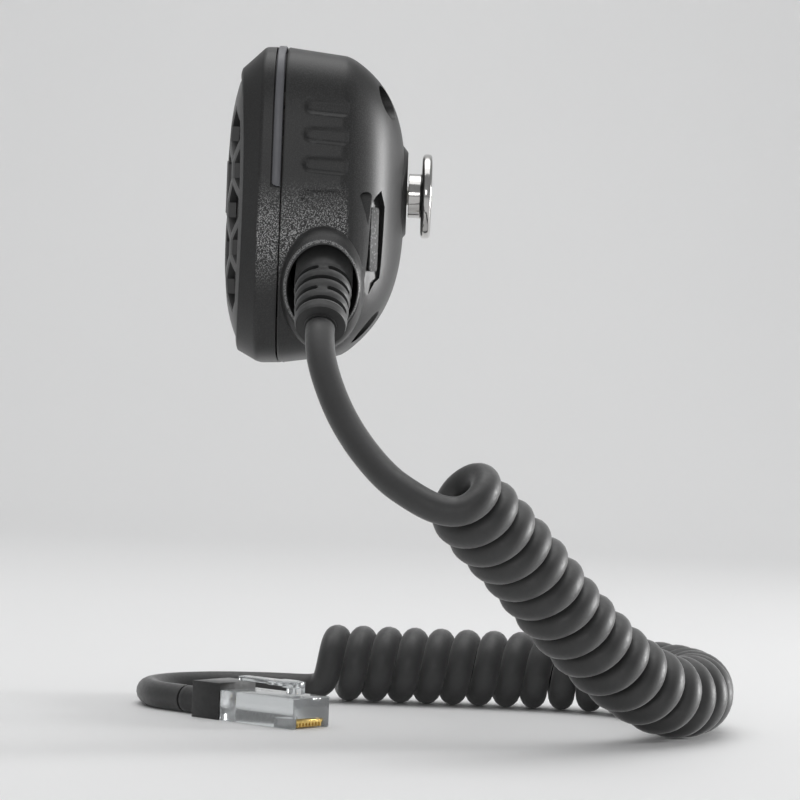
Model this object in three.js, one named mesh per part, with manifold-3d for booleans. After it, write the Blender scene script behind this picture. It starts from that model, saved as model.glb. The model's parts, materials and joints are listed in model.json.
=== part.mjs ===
// Hand microphone for a mobile two-way radio, with its curly cord and modular plug.
// Millimetres, +Z up. The front grille faces -Y, the back faces +Y, and the cord leaves the +X side.
// The origin is the centre of the outer face of the hang-up button, which a dash clip holds.
import * as THREE from 'three';
import Module from 'manifold-3d';
import { mergeVertices } from 'three/addons/utils/BufferGeometryUtils.js';

const wasm = await Module();
wasm.setup();

// ---- driving dimensions ----
const GAP = 0.3;                 // clearance between pieces that touch
const WALL = 2.2;                // moulded wall of both shells
const SQUARENESS = 5;            // exponent of the rounded-square outline
const TAPER = 0.03;              // how much wider the top is than the middle
const RING_POINTS = 32;          // points round one outline

const SEAM_Y = -31.4;            // where the two shells meet
const CREASE_Y = -18.4;          // end of the straight side walls
const CREST_Y = -5.8;            // crown of the domed back
const BEVEL_Y = -36.05;          // crease before the chamfer to the grille
const TRIM_FRONT_Y = -33.45;
const TRIM_LOW_Z = -1;           // the trim band only runs over the upper half
const FRONT_CREST_Y = -43.9;     // crown of the grille

const SEAM_OUTLINE = { half: 29, top: 29.7, bottom: -37.1 };
const BEVEL_OUTLINE = { half: 29.1, top: 29.6, bottom: -37.3 };
const CREASE_OUTLINE = { half: 28.6, top: 28.2, bottom: -35.1 };
const RIM_OUTLINE = { half: 24.7, top: 24.9, bottom: -34.9 };
const DOME_CENTRE_LIFT = 1.2;    // the crown sits a little above the outline's middle

const LIP = 1.6;                 // width of the front shell's lip round the grille
const BAFFLE = { front: -37.4, back: -35.4 };
const GRILLE_THICKNESS = 1.8;
const GRILLE_MARGIN = 1;         // solid edge round the holes
const CELL = { halfWidth: 4.5, halfHeight: 6.3, halfSide: 1.8, rib: 1.2 };   // elongated hexagon

const BUTTON = { faceRadius: 9.1, faceThickness: 2, stemRadius: 4.8, stemEnd: -5.0, bossFace: -5.3 };
const BUTTON_SCREW = { headFrom: -9.3, headTo: -11.6, headRadius: 3.6, tip: -2.8, radius: 2 };
const CASE_SCREW = { headHeight: 2, headRadius: 2.8, tip: -34.2, radius: 1.4, recess: 1.7 };
const CASE_SCREWS = [
  { name: 'case_screw_top_right', x: 18, z: 18.3, seat: -15 },
  { name: 'case_screw_top_left', x: -18, z: 18.3, seat: -15 },
  { name: 'case_screw_bottom_right', x: 15, z: -29.2, seat: -19.3 },
  { name: 'case_screw_bottom_left', x: -15, z: -29.2, seat: -19.3 },
];
const CASE_POST_END = -24;       // rear-shell posts stop here, front-shell posts carry on
const GROOVE = { heights: [16.0, 10.1, 3.9, -2.9], radius: 2.6, depth: 0.7, startY: -27.6, length: 14 };
const TEARDROP = {
  x: 26, z: -4.6, floorY: -16.8, reach: 11, radius: 0.9, roundAt: 2.4, pointAt: -3.6, lean: 0.6,
};
const LABEL = { x: 23.6, y: -11.2, z: -11.0, turn: 0.64 };        // middle of the label and its lean about Z
const LABEL_RECESS = { halfWidth: 2.4, halfHeight: 9.3, depth: 1.4 };
const LABEL_PLATE = { halfWidth: 1.3, halfHeight: 6.7, thickness: 0.4 };

const CARTRIDGE = { x: 0, z: -2, radius: 14, front: -38, back: -26.2, seatRadius: 17.3 };
const SOUND_PORTS = { count: 6, reach: 7.5, radius: 1.4, depth: 1 };
const BRACKET = { front: -25.9, back: -24.7, halfLength: 22.6, halfHeight: 4, screwX: 20 };
const BOARD = {
  front: -21.5, back: -19.9, left: -21.6, right: 10, low: -21, shoulder: 13, halfNeck: 12, top: 24,
};
const BOARD_SCREWS = [{ x: -17, z: 8 }, { x: -5, z: -18 }];
const SMALL_SCREW = { radius: 1.0, hole: 1.3, headRadius: 2.3, headHeight: 1.4 };

// the push-to-talk bar swings about the pin at its top and pushes the plunger near its foot
const PTT = { front: -28.6, back: -20.4, low: -19.9, high: 17.9, outer: -31.8, pivotX: -25, pivotZ: 15.5 };
const PTT_PIN = { from: -31, to: -18, radius: 0.9, hole: 1.2 };
const PTT_FLANGE = { outer: -25.7, inner: -24.2, low: -19.5, high: 11.5 };    // keeps the bar in its slot
const PTT_RIDGES = [-13, -9.5, -6];
const SWITCH = { left: -21.5, right: -13.5, front: -28.8, halfHeight: 4 };
const PLUNGER = { y: -25, z: -16, radius: 1.5, hole: 1.8, outer: -23.9, inner: -18 };
const HEADER = { left: 2, right: 8, front: -25.9, low: -21.2, high: -12.8, wall: 1 };
const INNER_CABLE_Z = -13.6;

const BOOT_ROOT = new THREE.Vector3(30.3, -21.9, -21.9);           // where the boot's axis meets the collar
const BOOT_DIRECTION = new THREE.Vector3(0.755, 0, -0.656).normalize();
const BOOT = { inner: -12.6, outer: 12.6, rootRadius: 6.25, tipRadius: 5.15, tunnelRadius: 7.5 };
const BOOT_SLOTS = { places: [0, 3.1, 6.2, 9.3], length: 7.6, width: 1, depth: 1.3 };
const BOOT_SLOT_TURN = 0.716;    // turns the first slots to the two sides of the boot
const COLLAR = { y: -22.2, z: -21.7, baseY: 8.8, baseZ: 12.6, rimY: 8.0, rimZ: 10.6, rimX: 31.2 };

const CORD_DIAMETER = 6;
const COIL_DIAMETER = 17.8;
const FLOOR_Z = -115.5;
const CORD_Z = FLOOR_Z + CORD_DIAMETER / 2;
const COIL_Z = FLOOR_Z + COIL_DIAMETER / 2;
// the straight lead from the boot to the coil, chosen by hand
const LEAD_ROUTE = [
  [40.2, -21.9, -30.5], [42.0, -21.9, -32.1], [44.8, -21.4, -36.2], [47.3, -19.7, -41.6],
  [49.9, -16.6, -48.2], [53.0, -12.0, -54.8], [56.2, -6.2, -60.6], [58.8, 0.8, -64.9],
];
// the coil's middle line: down beside the radio, round on the floor and back behind the microphone
const COIL_ROUTE = [
  [55, 7.1, -62.7], [42, 20.5, -76.0], [32, 31.8, -88.5], [22, 43.2, -99.0], [10, 53.5, -105.2],
  [-5, 60.9, COIL_Z], [-22, 62.5, COIL_Z], [-38, 57, COIL_Z], [-48, 45, COIL_Z], [-52, 30, COIL_Z],
  [-53, 12, COIL_Z], [-53, -6, COIL_Z], [-53, -24, COIL_Z],
];
const TAIL_ROUTE = [
  [-53, -24.4, CORD_Z], [-53, -35, CORD_Z], [-50, -46.5, CORD_Z], [-42.5, -55.5, CORD_Z],
  [-32, -59.5, CORD_Z], [-22, -57, CORD_Z], [-15, -50, CORD_Z],
];
const PLUG_DIRECTION = new THREE.Vector3(0.64, 0.768, 0).normalize();
const PLUG = { bootLength: 15, bodyLength: 21.5, halfWidth: 5.85, height: 8 };

// ---- materials ----
function finish(colour, roughness, metalness = 0) {
  return new THREE.MeshStandardMaterial({ color: colour, roughness, metalness });
}
const material = {
  shell: finish(0x2b2b2e, 0.62),
  trim: finish(0x6a6b74, 0.45),
  grille: finish(0x3a3a3d, 0.4),
  cloth: finish(0x0c0c0d, 0.95),
  rubber: finish(0x26272a, 0.7),
  chrome: finish(0xc9cacd, 0.12, 1),
  steel: finish(0x9a9ca0, 0.35, 1),
  board: finish(0x1f5a38, 0.5),
  black: finish(0x151516, 0.5),
  gold: finish(0xc9a34a, 0.3, 1),
  clear: finish(0xb9bec2, 0.15),
  label: finish(0x9b9ca0, 0.4),
};

// ---- solids: closed three.js geometry turned into manifolds, joined and cut ----
function solid(geometry) {
  const bare = geometry.index ? geometry.toNonIndexed() : geometry.clone();
  for (const name of Object.keys(bare.attributes)) {
    if (name !== 'position') bare.deleteAttribute(name);
  }
  const merged = mergeVertices(bare, 1e-4);
  const mesh = new wasm.Mesh({
    numProp: 3,
    vertProperties: new Float32Array(merged.attributes.position.array),
    triVerts: new Uint32Array(merged.index.array),
  });
  return new wasm.Manifold(mesh);
}

function geometryOf(body) {
  const mesh = body.getMesh();
  const geometry = new THREE.BufferGeometry();
  geometry.setAttribute('position', new THREE.BufferAttribute(new Float32Array(mesh.vertProperties), 3));
  geometry.setIndex(new THREE.BufferAttribute(new Uint32Array(mesh.triVerts), 1));
  geometry.computeVertexNormals();
  return geometry;
}

const model = new THREE.Group();

function add(name, body, look) {
  const mesh = new THREE.Mesh(geometryOf(body), look);
  mesh.name = name;
  model.add(mesh);
}

function box(low, high) {
  const size = high.map((v, i) => v - low[i]);
  const geometry = new THREE.BoxGeometry(...size);
  geometry.translate(...low.map((v, i) => v + size[i] / 2));
  return solid(geometry);
}

// a cylinder along one of the row axes, from one value to another; across holds its other two coordinates
function rod(axis, from, to, across, radius, sides = 14) {
  const geometry = new THREE.CylinderGeometry(radius, radius, to - from, sides);
  geometry.translate(0, (from + to) / 2, 0);
  if (axis === 'x') {
    geometry.rotateZ(-Math.PI / 2);
    geometry.translate(0, across[0], across[1]);
  } else {
    geometry.translate(across[0], 0, across[1]);
  }
  return solid(geometry);
}

// a turned piece: profile points are [radius, position along the axis], closed on the axis
function turned(profile, sides = 32) {
  return new THREE.LatheGeometry(profile.map(([r, y]) => new THREE.Vector2(r, y)), sides);
}

// skin over a stack of rings with the same number of points, with a fan over each end
function loft(rings) {
  const count = rings[0].length;
  const points = rings.flat();
  const faces = [];
  for (let k = 0; k + 1 < rings.length; k += 1) {
    for (let i = 0; i < count; i += 1) {
      const a = k * count + i;
      const b = k * count + (i + 1) % count;
      faces.push(a, b, b + count, a, b + count, a + count);
    }
  }
  for (const [start, flip] of [[0, true], [(rings.length - 1) * count, false]]) {
    const middle = new THREE.Vector3();
    for (let i = 0; i < count; i += 1) middle.addScaledVector(points[start + i], 1 / count);
    points.push(middle);
    for (let i = 0; i < count; i += 1) {
      const a = start + i;
      const b = start + (i + 1) % count;
      faces.push(...(flip ? [b, a, points.length - 1] : [a, b, points.length - 1]));
    }
  }
  const geometry = new THREE.BufferGeometry();
  geometry.setAttribute('position', new THREE.Float32BufferAttribute(points.flatMap((p) => p.toArray()), 3));
  geometry.setIndex(faces);
  const body = solid(geometry);
  if (body.volume() > 0) return body;
  geometry.setIndex(faces.reverse());
  return solid(geometry);
}

function union(first, ...rest) {
  return rest.reduce((body, next) => body.add(next), first);
}

function cut(first, ...rest) {
  return rest.reduce((body, next) => body.subtract(next), first);
}

// ---- the microphone's outer surface ----
// One point of a rounded-square outline; inset moves it in by a wall thickness.
function outlinePoint(angle, outline, inset = 0, scale = 1) {
  const half = outline.half - inset;
  const tall = (outline.top - outline.bottom) / 2 - inset;
  const middle = (outline.top + outline.bottom) / 2;
  const across = Math.cos(angle);
  const up = Math.sin(angle);
  const apart = (Math.abs(across) / half) ** SQUARENESS + (Math.abs(up) / tall) ** SQUARENESS;
  const reach = apart ** (-1 / SQUARENESS);
  const z = reach * up * scale;
  const x = reach * across * scale * (1 + TAPER * z / tall);
  return { x, z: middle + z };
}

function ring(outline, y, inset = 0, scale = 1, lift = 0) {
  return Array.from({ length: RING_POINTS }, (_, i) => {
    const angle = 2 * Math.PI * i / RING_POINTS;
    const p = outlinePoint(angle, outline, inset, scale);
    const depth = typeof y === 'function' ? y(angle, scale) : y;
    return new THREE.Vector3(p.x, depth, p.z + lift);
  });
}

// how far the domed back falls from its crown, at a fraction of the way out to the crease
function domeDrop(angle, scale) {
  const upright = Math.sin(angle) ** 2;
  const overTop = 9 * scale ** 3 + 3.6 * scale ** 5;
  const overSide = 6.6 * scale ** 2.2 + 6.0 * scale ** 9;
  return upright * overTop + (1 - upright) * overSide;
}

function backBody(inset, frontY) {
  const dome = (angle, scale) => CREST_Y - inset - domeDrop(angle, scale);
  const steps = [0.95, 0.88, 0.78, 0.64, 0.44, 0.2];
  return loft([
    ring(SEAM_OUTLINE, frontY, inset),
    ring(CREASE_OUTLINE, CREASE_Y - inset, inset),
    ...steps.map((s) => ring(CREASE_OUTLINE, dome, inset, s, DOME_CENTRE_LIFT * (1 - s ** 4))),
  ]);
}

function rimY(angle) {
  const up = Math.sin(angle);
  return -39.8 - 2.1 * Math.max(0, up) ** 3 - 0.8 * Math.max(0, -up) ** 3;
}

// the grille's crowned surface, moved back by an inset
function grilleY(inset) {
  return (angle, scale) => FRONT_CREST_Y + inset + (rimY(angle) - FRONT_CREST_Y) * scale ** 4;
}

function ellipseRing(x, y, z, halfY, halfZ, count = 20) {
  return Array.from({ length: count }, (_, i) => {
    const angle = 2 * Math.PI * i / count;
    return new THREE.Vector3(x, y + halfY * Math.cos(angle), z + halfZ * Math.sin(angle));
  });
}

// a solid whose own Y axis is laid along a direction from a point
function along(geometry, origin, direction) {
  const turn = new THREE.Quaternion().setFromUnitVectors(new THREE.Vector3(0, 1, 0), direction);
  geometry.applyQuaternion(turn);
  geometry.translate(origin.x, origin.y, origin.z);
  return solid(geometry);
}

// ---- casing ----
function rearShell() {
  const cavity = backBody(WALL, SEAM_Y - 1);
  const bossProfile = [[0, -8], [10.6, -8], [10.2, -6.5], [8.9, BUTTON.bossFace], [0, BUTTON.bossFace]];
  const boss = solid(turned(bossProfile, 28).translate(0, 0, 0.5));
  const collar = cut(loft([
    ellipseRing(20, COLLAR.y, COLLAR.z, COLLAR.baseY, COLLAR.baseZ),
    ellipseRing(26.5, COLLAR.y, COLLAR.z, COLLAR.baseY, COLLAR.baseZ),
    ellipseRing(29.8, COLLAR.y, COLLAR.z + 0.4, COLLAR.baseY - 0.3, COLLAR.baseZ - 1.2),
    ellipseRing(COLLAR.rimX, COLLAR.y, COLLAR.z, COLLAR.rimY, COLLAR.rimZ),
  ]), cavity);
  let shell = union(cut(backBody(0, SEAM_Y), cavity), cut(boss, cavity), collar);
  for (const screw of CASE_SCREWS) {
    const post = rod('y', CASE_POST_END, -11.5, [screw.x, screw.z], 4.6);
    shell = shell.add(post.intersect(backBody(0.4, SEAM_Y)));
  }
  for (const screw of BOARD_SCREWS) {
    const post = rod('y', BOARD.back + GAP, -8.4, [screw.x, screw.z], 2.6, 16);
    shell = shell.add(post.intersect(backBody(0.4, SEAM_Y)));
  }
  const ears = [[-31.2, -29.9], [-19.1, -17.8]].map(([a, b]) => box([-27, a, 13.3], [-23.2, b, 17.7]));
  shell = union(shell, ...ears);
  const tools = [
    rod('y', -9, 0, [0, 0], 2.3),
    along(new THREE.CylinderGeometry(BOOT.tunnelRadius, BOOT.tunnelRadius, 26, 20)
      .translate(0, -1, 0), BOOT_ROOT, BOOT_DIRECTION),
    rod('y', -32, -17, [PTT.pivotX, PTT.pivotZ], PTT_PIN.hole, 10),
    pttSlot(),
    labelRecess(),
  ];
  for (const screw of CASE_SCREWS) {
    tools.push(rod('y', screw.seat, 0, [screw.x, screw.z], 3.5, 16));
    tools.push(rod('y', CASE_POST_END - 1, screw.seat + 1, [screw.x, screw.z], 1.8, 10));
  }
  for (const screw of BOARD_SCREWS) tools.push(rod('y', -20, -13, [screw.x, screw.z], SMALL_SCREW.hole, 12));
  for (const side of [1, -1]) tools.push(teardrop(side));
  for (const z of GROOVE.heights) tools.push(fingerGroove(z));
  return cut(shell, ...tools);
}

// a shallow scallop that starts in the side wall and runs out over the back
function fingerGroove(z) {
  const { radius, depth, startY, length } = GROOVE;
  const geometry = new THREE.CapsuleGeometry(radius, length, 2, 10);
  const middle = (CREASE_OUTLINE.top + CREASE_OUTLINE.bottom) / 2;
  const wall = outlinePoint(Math.atan2(z - middle, CREASE_OUTLINE.half), CREASE_OUTLINE).x;
  geometry.translate(wall + radius - depth, startY + radius + length / 2, z);
  return solid(geometry);
}

// blind pocket in the shoulder of the back, round above and pointed below
function teardrop(side) {
  const { x, z, floorY, reach, radius, roundAt, pointAt, lean } = TEARDROP;
  const shape = new THREE.Shape();
  shape.absarc(0, roundAt, radius, -0.25, Math.PI + 0.25, false);
  shape.lineTo(-side * lean, pointAt);
  shape.closePath();
  const geometry = new THREE.ExtrudeGeometry(shape, { depth: reach, bevelEnabled: false, curveSegments: 8 });
  geometry.rotateX(Math.PI / 2);
  geometry.translate(side * x, floorY + reach, z);
  return solid(geometry);
}

// a slab square to the sloping back where the blank label sits, between two depths
function labelSlab({ halfWidth, halfHeight }, from, to) {
  const geometry = new THREE.BoxGeometry(2 * halfWidth, to - from, 2 * halfHeight);
  geometry.translate(0, (from + to) / 2, 0);
  geometry.rotateZ(-LABEL.turn);
  geometry.translate(LABEL.x, LABEL.y, LABEL.z);
  return solid(geometry);
}

function labelRecess() {
  return labelSlab(LABEL_RECESS, -LABEL_RECESS.depth, 4);
}

function labelPlate() {
  const back = GAP - LABEL_RECESS.depth;
  return labelSlab(LABEL_PLATE, back, back + LABEL_PLATE.thickness);
}

function slabAlongX(fromX, toX, yLow, yHigh, zLow, zHigh, corner) {
  const shape = new THREE.Shape();
  const w = yHigh - yLow;
  const h = zHigh - zLow;
  shape.moveTo(corner, 0);
  shape.lineTo(w - corner, 0);
  shape.absarc(w - corner, corner, corner, -Math.PI / 2, 0, false);
  shape.lineTo(w, h - corner);
  shape.absarc(w - corner, h - corner, corner, 0, Math.PI / 2, false);
  shape.lineTo(corner, h);
  shape.absarc(corner, h - corner, corner, Math.PI / 2, Math.PI, false);
  shape.lineTo(0, corner);
  shape.absarc(corner, corner, corner, Math.PI, 1.5 * Math.PI, false);
  const settings = { depth: toX - fromX, bevelEnabled: false, curveSegments: 4 };
  const geometry = new THREE.ExtrudeGeometry(shape, settings);
  // the shape's own x, y and depth become the row's y, z and x
  geometry.applyMatrix4(new THREE.Matrix4().set(0, 0, 1, fromX, 1, 0, 0, yLow, 0, 1, 0, zLow, 0, 0, 0, 1));
  return solid(geometry);
}

function pttSlot() {
  return slabAlongX(-36, -24, PTT.front - 0.4, PTT.back + 0.4, PTT.low - 0.8, PTT.high + 0.4, 2.2);
}

function frontShell() {
  const outer = loft([
    ring(RIM_OUTLINE, rimY),
    ring(BEVEL_OUTLINE, BEVEL_Y),
    ring(SEAM_OUTLINE, SEAM_Y - GAP),
  ]);
  const backRoom = loft([ring(SEAM_OUTLINE, BAFFLE.back, WALL), ring(SEAM_OUTLINE, SEAM_Y + 1, WALL)]);
  const frontRoom = loft([ring(RIM_OUTLINE, -46, LIP), ring(RIM_OUTLINE, BAFFLE.front, LIP)]);
  const around = loft([ring(SEAM_OUTLINE, TRIM_FRONT_Y - GAP, -3), ring(SEAM_OUTLINE, SEAM_Y + 1, -3)]);
  const core = loft([ring(SEAM_OUTLINE, TRIM_FRONT_Y - 1, 1.2), ring(SEAM_OUTLINE, SEAM_Y + 2, 1.2)]);
  const belowTrim = box([-40, -40, -60], [40, -25, TRIM_LOW_Z - GAP]);
  let shell = cut(outer, backRoom, frontRoom, cut(around, core, belowTrim));
  // the posts stay clear of the rear shell's inner wall
  const room = loft([
    ring(SEAM_OUTLINE, BEVEL_Y - 2, WALL + GAP), ring(SEAM_OUTLINE, SEAM_Y, WALL + GAP),
    ring(CREASE_OUTLINE, CREASE_Y - WALL, WALL + GAP),
  ]);
  for (const screw of CASE_SCREWS) {
    const post = rod('y', BAFFLE.back - 1, CASE_POST_END - GAP, [screw.x, screw.z], 3.6);
    shell = shell.add(post.intersect(room));
  }
  for (const side of [1, -1]) {
    const place = [side * BRACKET.screwX, CARTRIDGE.z];
    shell = shell.add(rod('y', BAFFLE.back - 1, BRACKET.front - GAP, place, 3.1, 16));
  }
  const tools = [rod('y', -50, -30, [CARTRIDGE.x, CARTRIDGE.z], CARTRIDGE.seatRadius, 40)];
  for (const screw of CASE_SCREWS) tools.push(rod('y', -34.8, -20, [screw.x, screw.z], 1.7, 10));
  for (const side of [1, -1]) {
    tools.push(rod('y', -33, -20, [side * BRACKET.screwX, CARTRIDGE.z], SMALL_SCREW.hole, 12));
  }
  return cut(shell, ...tools);
}

function trimBand() {
  const outer = loft([ring(SEAM_OUTLINE, TRIM_FRONT_Y, -0.15), ring(SEAM_OUTLINE, SEAM_Y - GAP, -0.15)]);
  const inner = loft([ring(SEAM_OUTLINE, TRIM_FRONT_Y - 1, 0.9), ring(SEAM_OUTLINE, SEAM_Y + 1, 0.9)]);
  return cut(outer, inner, box([-40, -40, -60], [40, -25, TRIM_LOW_Z]));
}

function hexagon(x, z, shrink) {
  const { halfWidth, halfHeight, halfSide } = CELL;
  const w = halfWidth - shrink;
  const h = halfHeight - shrink * 1.25;
  const s = halfSide - shrink * 0.35;
  return [[0, -h], [w, -s], [w, s], [0, h], [-w, s], [-w, -s]].map(([dx, dz]) => [x + dx, z + dz]);
}

function cellCentres() {
  const centres = [];
  const rowStep = CELL.halfHeight + CELL.halfSide;
  for (let row = -2; row <= 2; row += 1) {
    for (let column = -3; column <= 3; column += 1) {
      const x = (column + (row % 2 ? 0.5 : 0)) * 2 * CELL.halfWidth;
      const z = row * rowStep - 5.4;
      centres.push([x, z]);
    }
  }
  return centres;
}

function micGrille() {
  const steps = [1, 0.9, 0.75, 0.5];
  const edge = LIP + GAP;
  const cover = loft([
    ring(RIM_OUTLINE, BAFFLE.front - GAP, edge),
    ...steps.map((s) => ring(RIM_OUTLINE, grilleY(0), edge, s)),
  ]);
  const hollow = loft([
    ring(RIM_OUTLINE, BAFFLE.front + 1, edge, 0.92),
    ...[0.92, 0.75, 0.45].map((s) => ring(RIM_OUTLINE, grilleY(GRILLE_THICKNESS), edge, s)),
  ]);
  const margin = edge + GRILLE_MARGIN;
  const keeper = loft([ring(RIM_OUTLINE, -50, margin), ring(RIM_OUTLINE, -30, margin)]);
  let holes = null;
  for (const [x, z] of cellCentres()) {
    const points = hexagon(x, z, CELL.rib / 2).map(([px, pz]) => new THREE.Vector2(px, -pz));
    const geometry = new THREE.ExtrudeGeometry(new THREE.Shape(points), { depth: 12, bevelEnabled: false });
    geometry.rotateX(-Math.PI / 2);
    geometry.translate(0, -49, 0);
    const hole = solid(geometry);
    holes = holes ? holes.add(hole) : hole;
  }
  return cut(cover, hollow, holes.intersect(keeper));
}

function grilleCloth() {
  const edge = LIP + 2 * GAP;
  const steps = [0.88, 0.7, 0.4];
  const front = steps.map((s) => ring(RIM_OUTLINE, grilleY(GRILLE_THICKNESS + GAP), edge, s)).reverse();
  const back = steps.map((s) => ring(RIM_OUTLINE, grilleY(GRILLE_THICKNESS + GAP + 0.5), edge, s));
  return loft([...front, ...back]);
}

// ---- inside ----
// a screw along Y with a chamfered head and a pointed tip
function screwBody({ x, z, headFrom, headTo, headRadius, tip, radius }) {
  const direction = Math.sign(headTo - headFrom);
  const chamfer = 0.5 * direction;
  const point = 0.8 * direction;
  const geometry = turned([
    [0, headTo], [headRadius * 0.8, headTo], [headRadius, headTo - chamfer], [headRadius, headFrom],
    [radius, headFrom], [radius, tip + point], [0, tip],
  ], 12);
  geometry.translate(x, 0, z);
  const body = solid(geometry);
  if (body.volume() > 0) return body;
  const flipped = geometry.clone();
  flipped.setIndex([...geometry.index.array].reverse());
  return solid(flipped);
}

// a cross-shaped driver recess in a screw head whose top is at y
function crossRecess(x, z, y, reach) {
  const arm = 0.35;
  const floor = y - 0.9;
  return union(
    box([x - reach, floor, z - arm], [x + reach, y + 1, z + arm]),
    box([x - arm, floor, z - reach], [x + arm, y + 1, z + reach]),
  );
}

function tube(points, radius, sides, steps) {
  const path = new THREE.CatmullRomCurve3(points.map((p) => new THREE.Vector3(...p)), false, 'centripetal');
  const shape = new THREE.Shape();
  for (let i = 0; i < sides; i += 1) {
    const angle = 2 * Math.PI * i / sides;
    shape[i ? 'lineTo' : 'moveTo'](radius * Math.cos(angle), radius * Math.sin(angle));
  }
  shape.closePath();
  return solid(new THREE.ExtrudeGeometry(shape, { steps, bevelEnabled: false, extrudePath: path }));
}

function ringAlongY(x, z, from, to, inner, outer, sides = 24) {
  return cut(rod('y', from, to, [x, z], outer, sides), rod('y', from - 1, to + 1, [x, z], inner, sides));
}

function addCartridge() {
  const { x, z, radius, front, back, seatRadius } = CARTRIDGE;
  const ringOuter = seatRadius - GAP;
  add('cartridge_ring', ringAlongY(x, z, front - 0.2, -34, radius + GAP, ringOuter), material.rubber);
  const ports = Array.from({ length: SOUND_PORTS.count }, (_, i) => {
    const angle = 2 * Math.PI * i / SOUND_PORTS.count;
    const place = [x + SOUND_PORTS.reach * Math.cos(angle), z + SOUND_PORTS.reach * Math.sin(angle)];
    return rod('y', front - 1, front + SOUND_PORTS.depth, place, SOUND_PORTS.radius, 10);
  });
  add('mic_cartridge', cut(rod('y', front, back, [x, z], radius, 24), ...ports), material.steel);
}

function addBracket() {
  const z = CARTRIDGE.z;
  const { front, back, halfLength, halfHeight, screwX } = BRACKET;
  const bar = box([-halfLength, front, z - halfHeight], [halfLength, back, z + halfHeight]);
  const holes = [1, -1].map((side) => rod('y', -30, -20, [side * screwX, z], SMALL_SCREW.hole, 12));
  add('cartridge_bracket', cut(bar, ...holes), material.steel);
  const headFrom = back + GAP;
  const headTo = headFrom + SMALL_SCREW.headHeight;
  for (const [name, side] of [['bracket_screw_right', 1], ['bracket_screw_left', -1]]) {
    const screw = screwBody({ ...SMALL_SCREW, x: side * screwX, z, headFrom, headTo, tip: -31 });
    add(name, cut(screw, crossRecess(side * screwX, z, headTo, 1.2)), material.steel);
  }
}

function addBoard() {
  const { front, back, left, right, low, shoulder, halfNeck, top } = BOARD;
  const plate = union(
    box([left, front, low], [right, back, shoulder]),
    box([-halfNeck, front, shoulder - 0.1], [halfNeck, back, top]),
  );
  const holes = BOARD_SCREWS.map(({ x, z }) => rod('y', -25, -15, [x, z], SMALL_SCREW.hole, 12));
  add('circuit_board', cut(plate, ...holes), material.board);
  const headFrom = front - GAP;
  const headTo = headFrom - SMALL_SCREW.headHeight;
  BOARD_SCREWS.forEach((place, i) => {
    const screw = screwBody({ ...SMALL_SCREW, ...place, headFrom, headTo, tip: -14 });
    add(`board_screw_${i + 1}`, screw, material.steel);
  });
}

function addSwitch() {
  const seat = BOARD.front - GAP;
  const { y, z, radius, hole, outer, inner } = PLUNGER;
  const housing = box(
    [SWITCH.left, SWITCH.front, z - SWITCH.halfHeight],
    [SWITCH.right, seat, z + SWITCH.halfHeight],
  );
  const well = rod('x', SWITCH.left - 1, inner + 2.3, [y, z], hole, 14);
  add('ptt_switch', cut(housing, well), material.black);
  add('switch_plunger', rod('x', outer, inner, [y, z], radius, 14), material.label);
}

function addWiring() {
  const { left, right, front, low, high, wall } = HEADER;
  const housing = box([left, front, low], [right, BOARD.front - GAP, high]);
  const socket = box([left + wall, front - 4, low + 1.2], [right - wall, front + 2.4, low + 2.4]);
  add('wire_header', cut(housing, socket), material.clear);
  const y = BOOT_ROOT.y;
  const z = INNER_CABLE_Z;
  const route = [
    [20.3, y, z], [18.8, y, z], [17, y, z], [14.4, -22.8, -14.6],
    [12, -24.2, -16.4], [10.2, -24.6, -17], [8.5, -24.6, -17],
  ];
  add('inner_cable', tube(route, 2.4, 10, 12), material.rubber);
  const tie = cut(rod('x', 17.7, 19.7, [y, z], 4, 20), rod('x', 17, 20.3, [y, z], 2.8, 20));
  add('cable_tie', tie, material.black);
}

// ---- push-to-talk bar ----
function addPtt() {
  const { front, back, low, high, outer, pivotX, pivotZ } = PTT;
  const inner = PTT_FLANGE.inner;
  const bar = slabAlongX(outer, PTT_FLANGE.outer + 0.1, front, back, low, high, 1.8);
  const flange = box([PTT_FLANGE.outer, front - 0.6, PTT_FLANGE.low], [inner, back + 0.1, PTT_FLANGE.high]);
  const hub = rod('y', front, back, [pivotX, pivotZ], 2);
  const web = box([-26.5, front, PTT_FLANGE.high - 0.5], [inner, back, pivotZ]);
  const ridges = PTT_RIDGES.map((z) => rod('y', front - 1, back + 1, [outer - 0.3, z], 0.8, 12));
  // room for the slot's edges beside the bar
  const frontRoom = box([-26.6, front - 2, -22], [-25.2, front - 0.05, 12]);
  const backRoom = box([-26.6, back + 0.05, -22], [-25.2, back + 2, 12]);
  const pinHole = rod('y', -35, -15, [pivotX, pivotZ], PTT_PIN.hole, 16);
  add('ptt_bar', cut(union(bar, flange, hub, web), pinHole, frontRoom, backRoom, ...ridges), material.rubber);
  add('ptt_pin', rod('y', PTT_PIN.from, PTT_PIN.to, [pivotX, pivotZ], PTT_PIN.radius, 16), material.steel);
}

// ---- hang-up button ----
function addButton() {
  const { faceRadius, faceThickness, stemRadius, stemEnd } = BUTTON;
  const profile = [
    [0, stemEnd], [stemRadius, stemEnd], [stemRadius, -faceThickness - 0.6], [stemRadius + 0.6, -faceThickness],
    [faceRadius - 0.7, -faceThickness], [faceRadius, -faceThickness + 0.7], [faceRadius, -0.7],
    [faceRadius - 0.7, 0], [0, 0],
  ];
  const knob = cut(solid(turned(profile, 32)), rod('y', -7, -2.4, [0, 0], 2.3));
  add('hang_button', knob, material.chrome);
  add('button_washer', ringAlongY(0, 0, -9.0, -8.4, 2.3, 5, 24), material.steel);
  add('button_screw', screwBody({ ...BUTTON_SCREW, x: 0, z: 0 }), material.steel);
}

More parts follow.
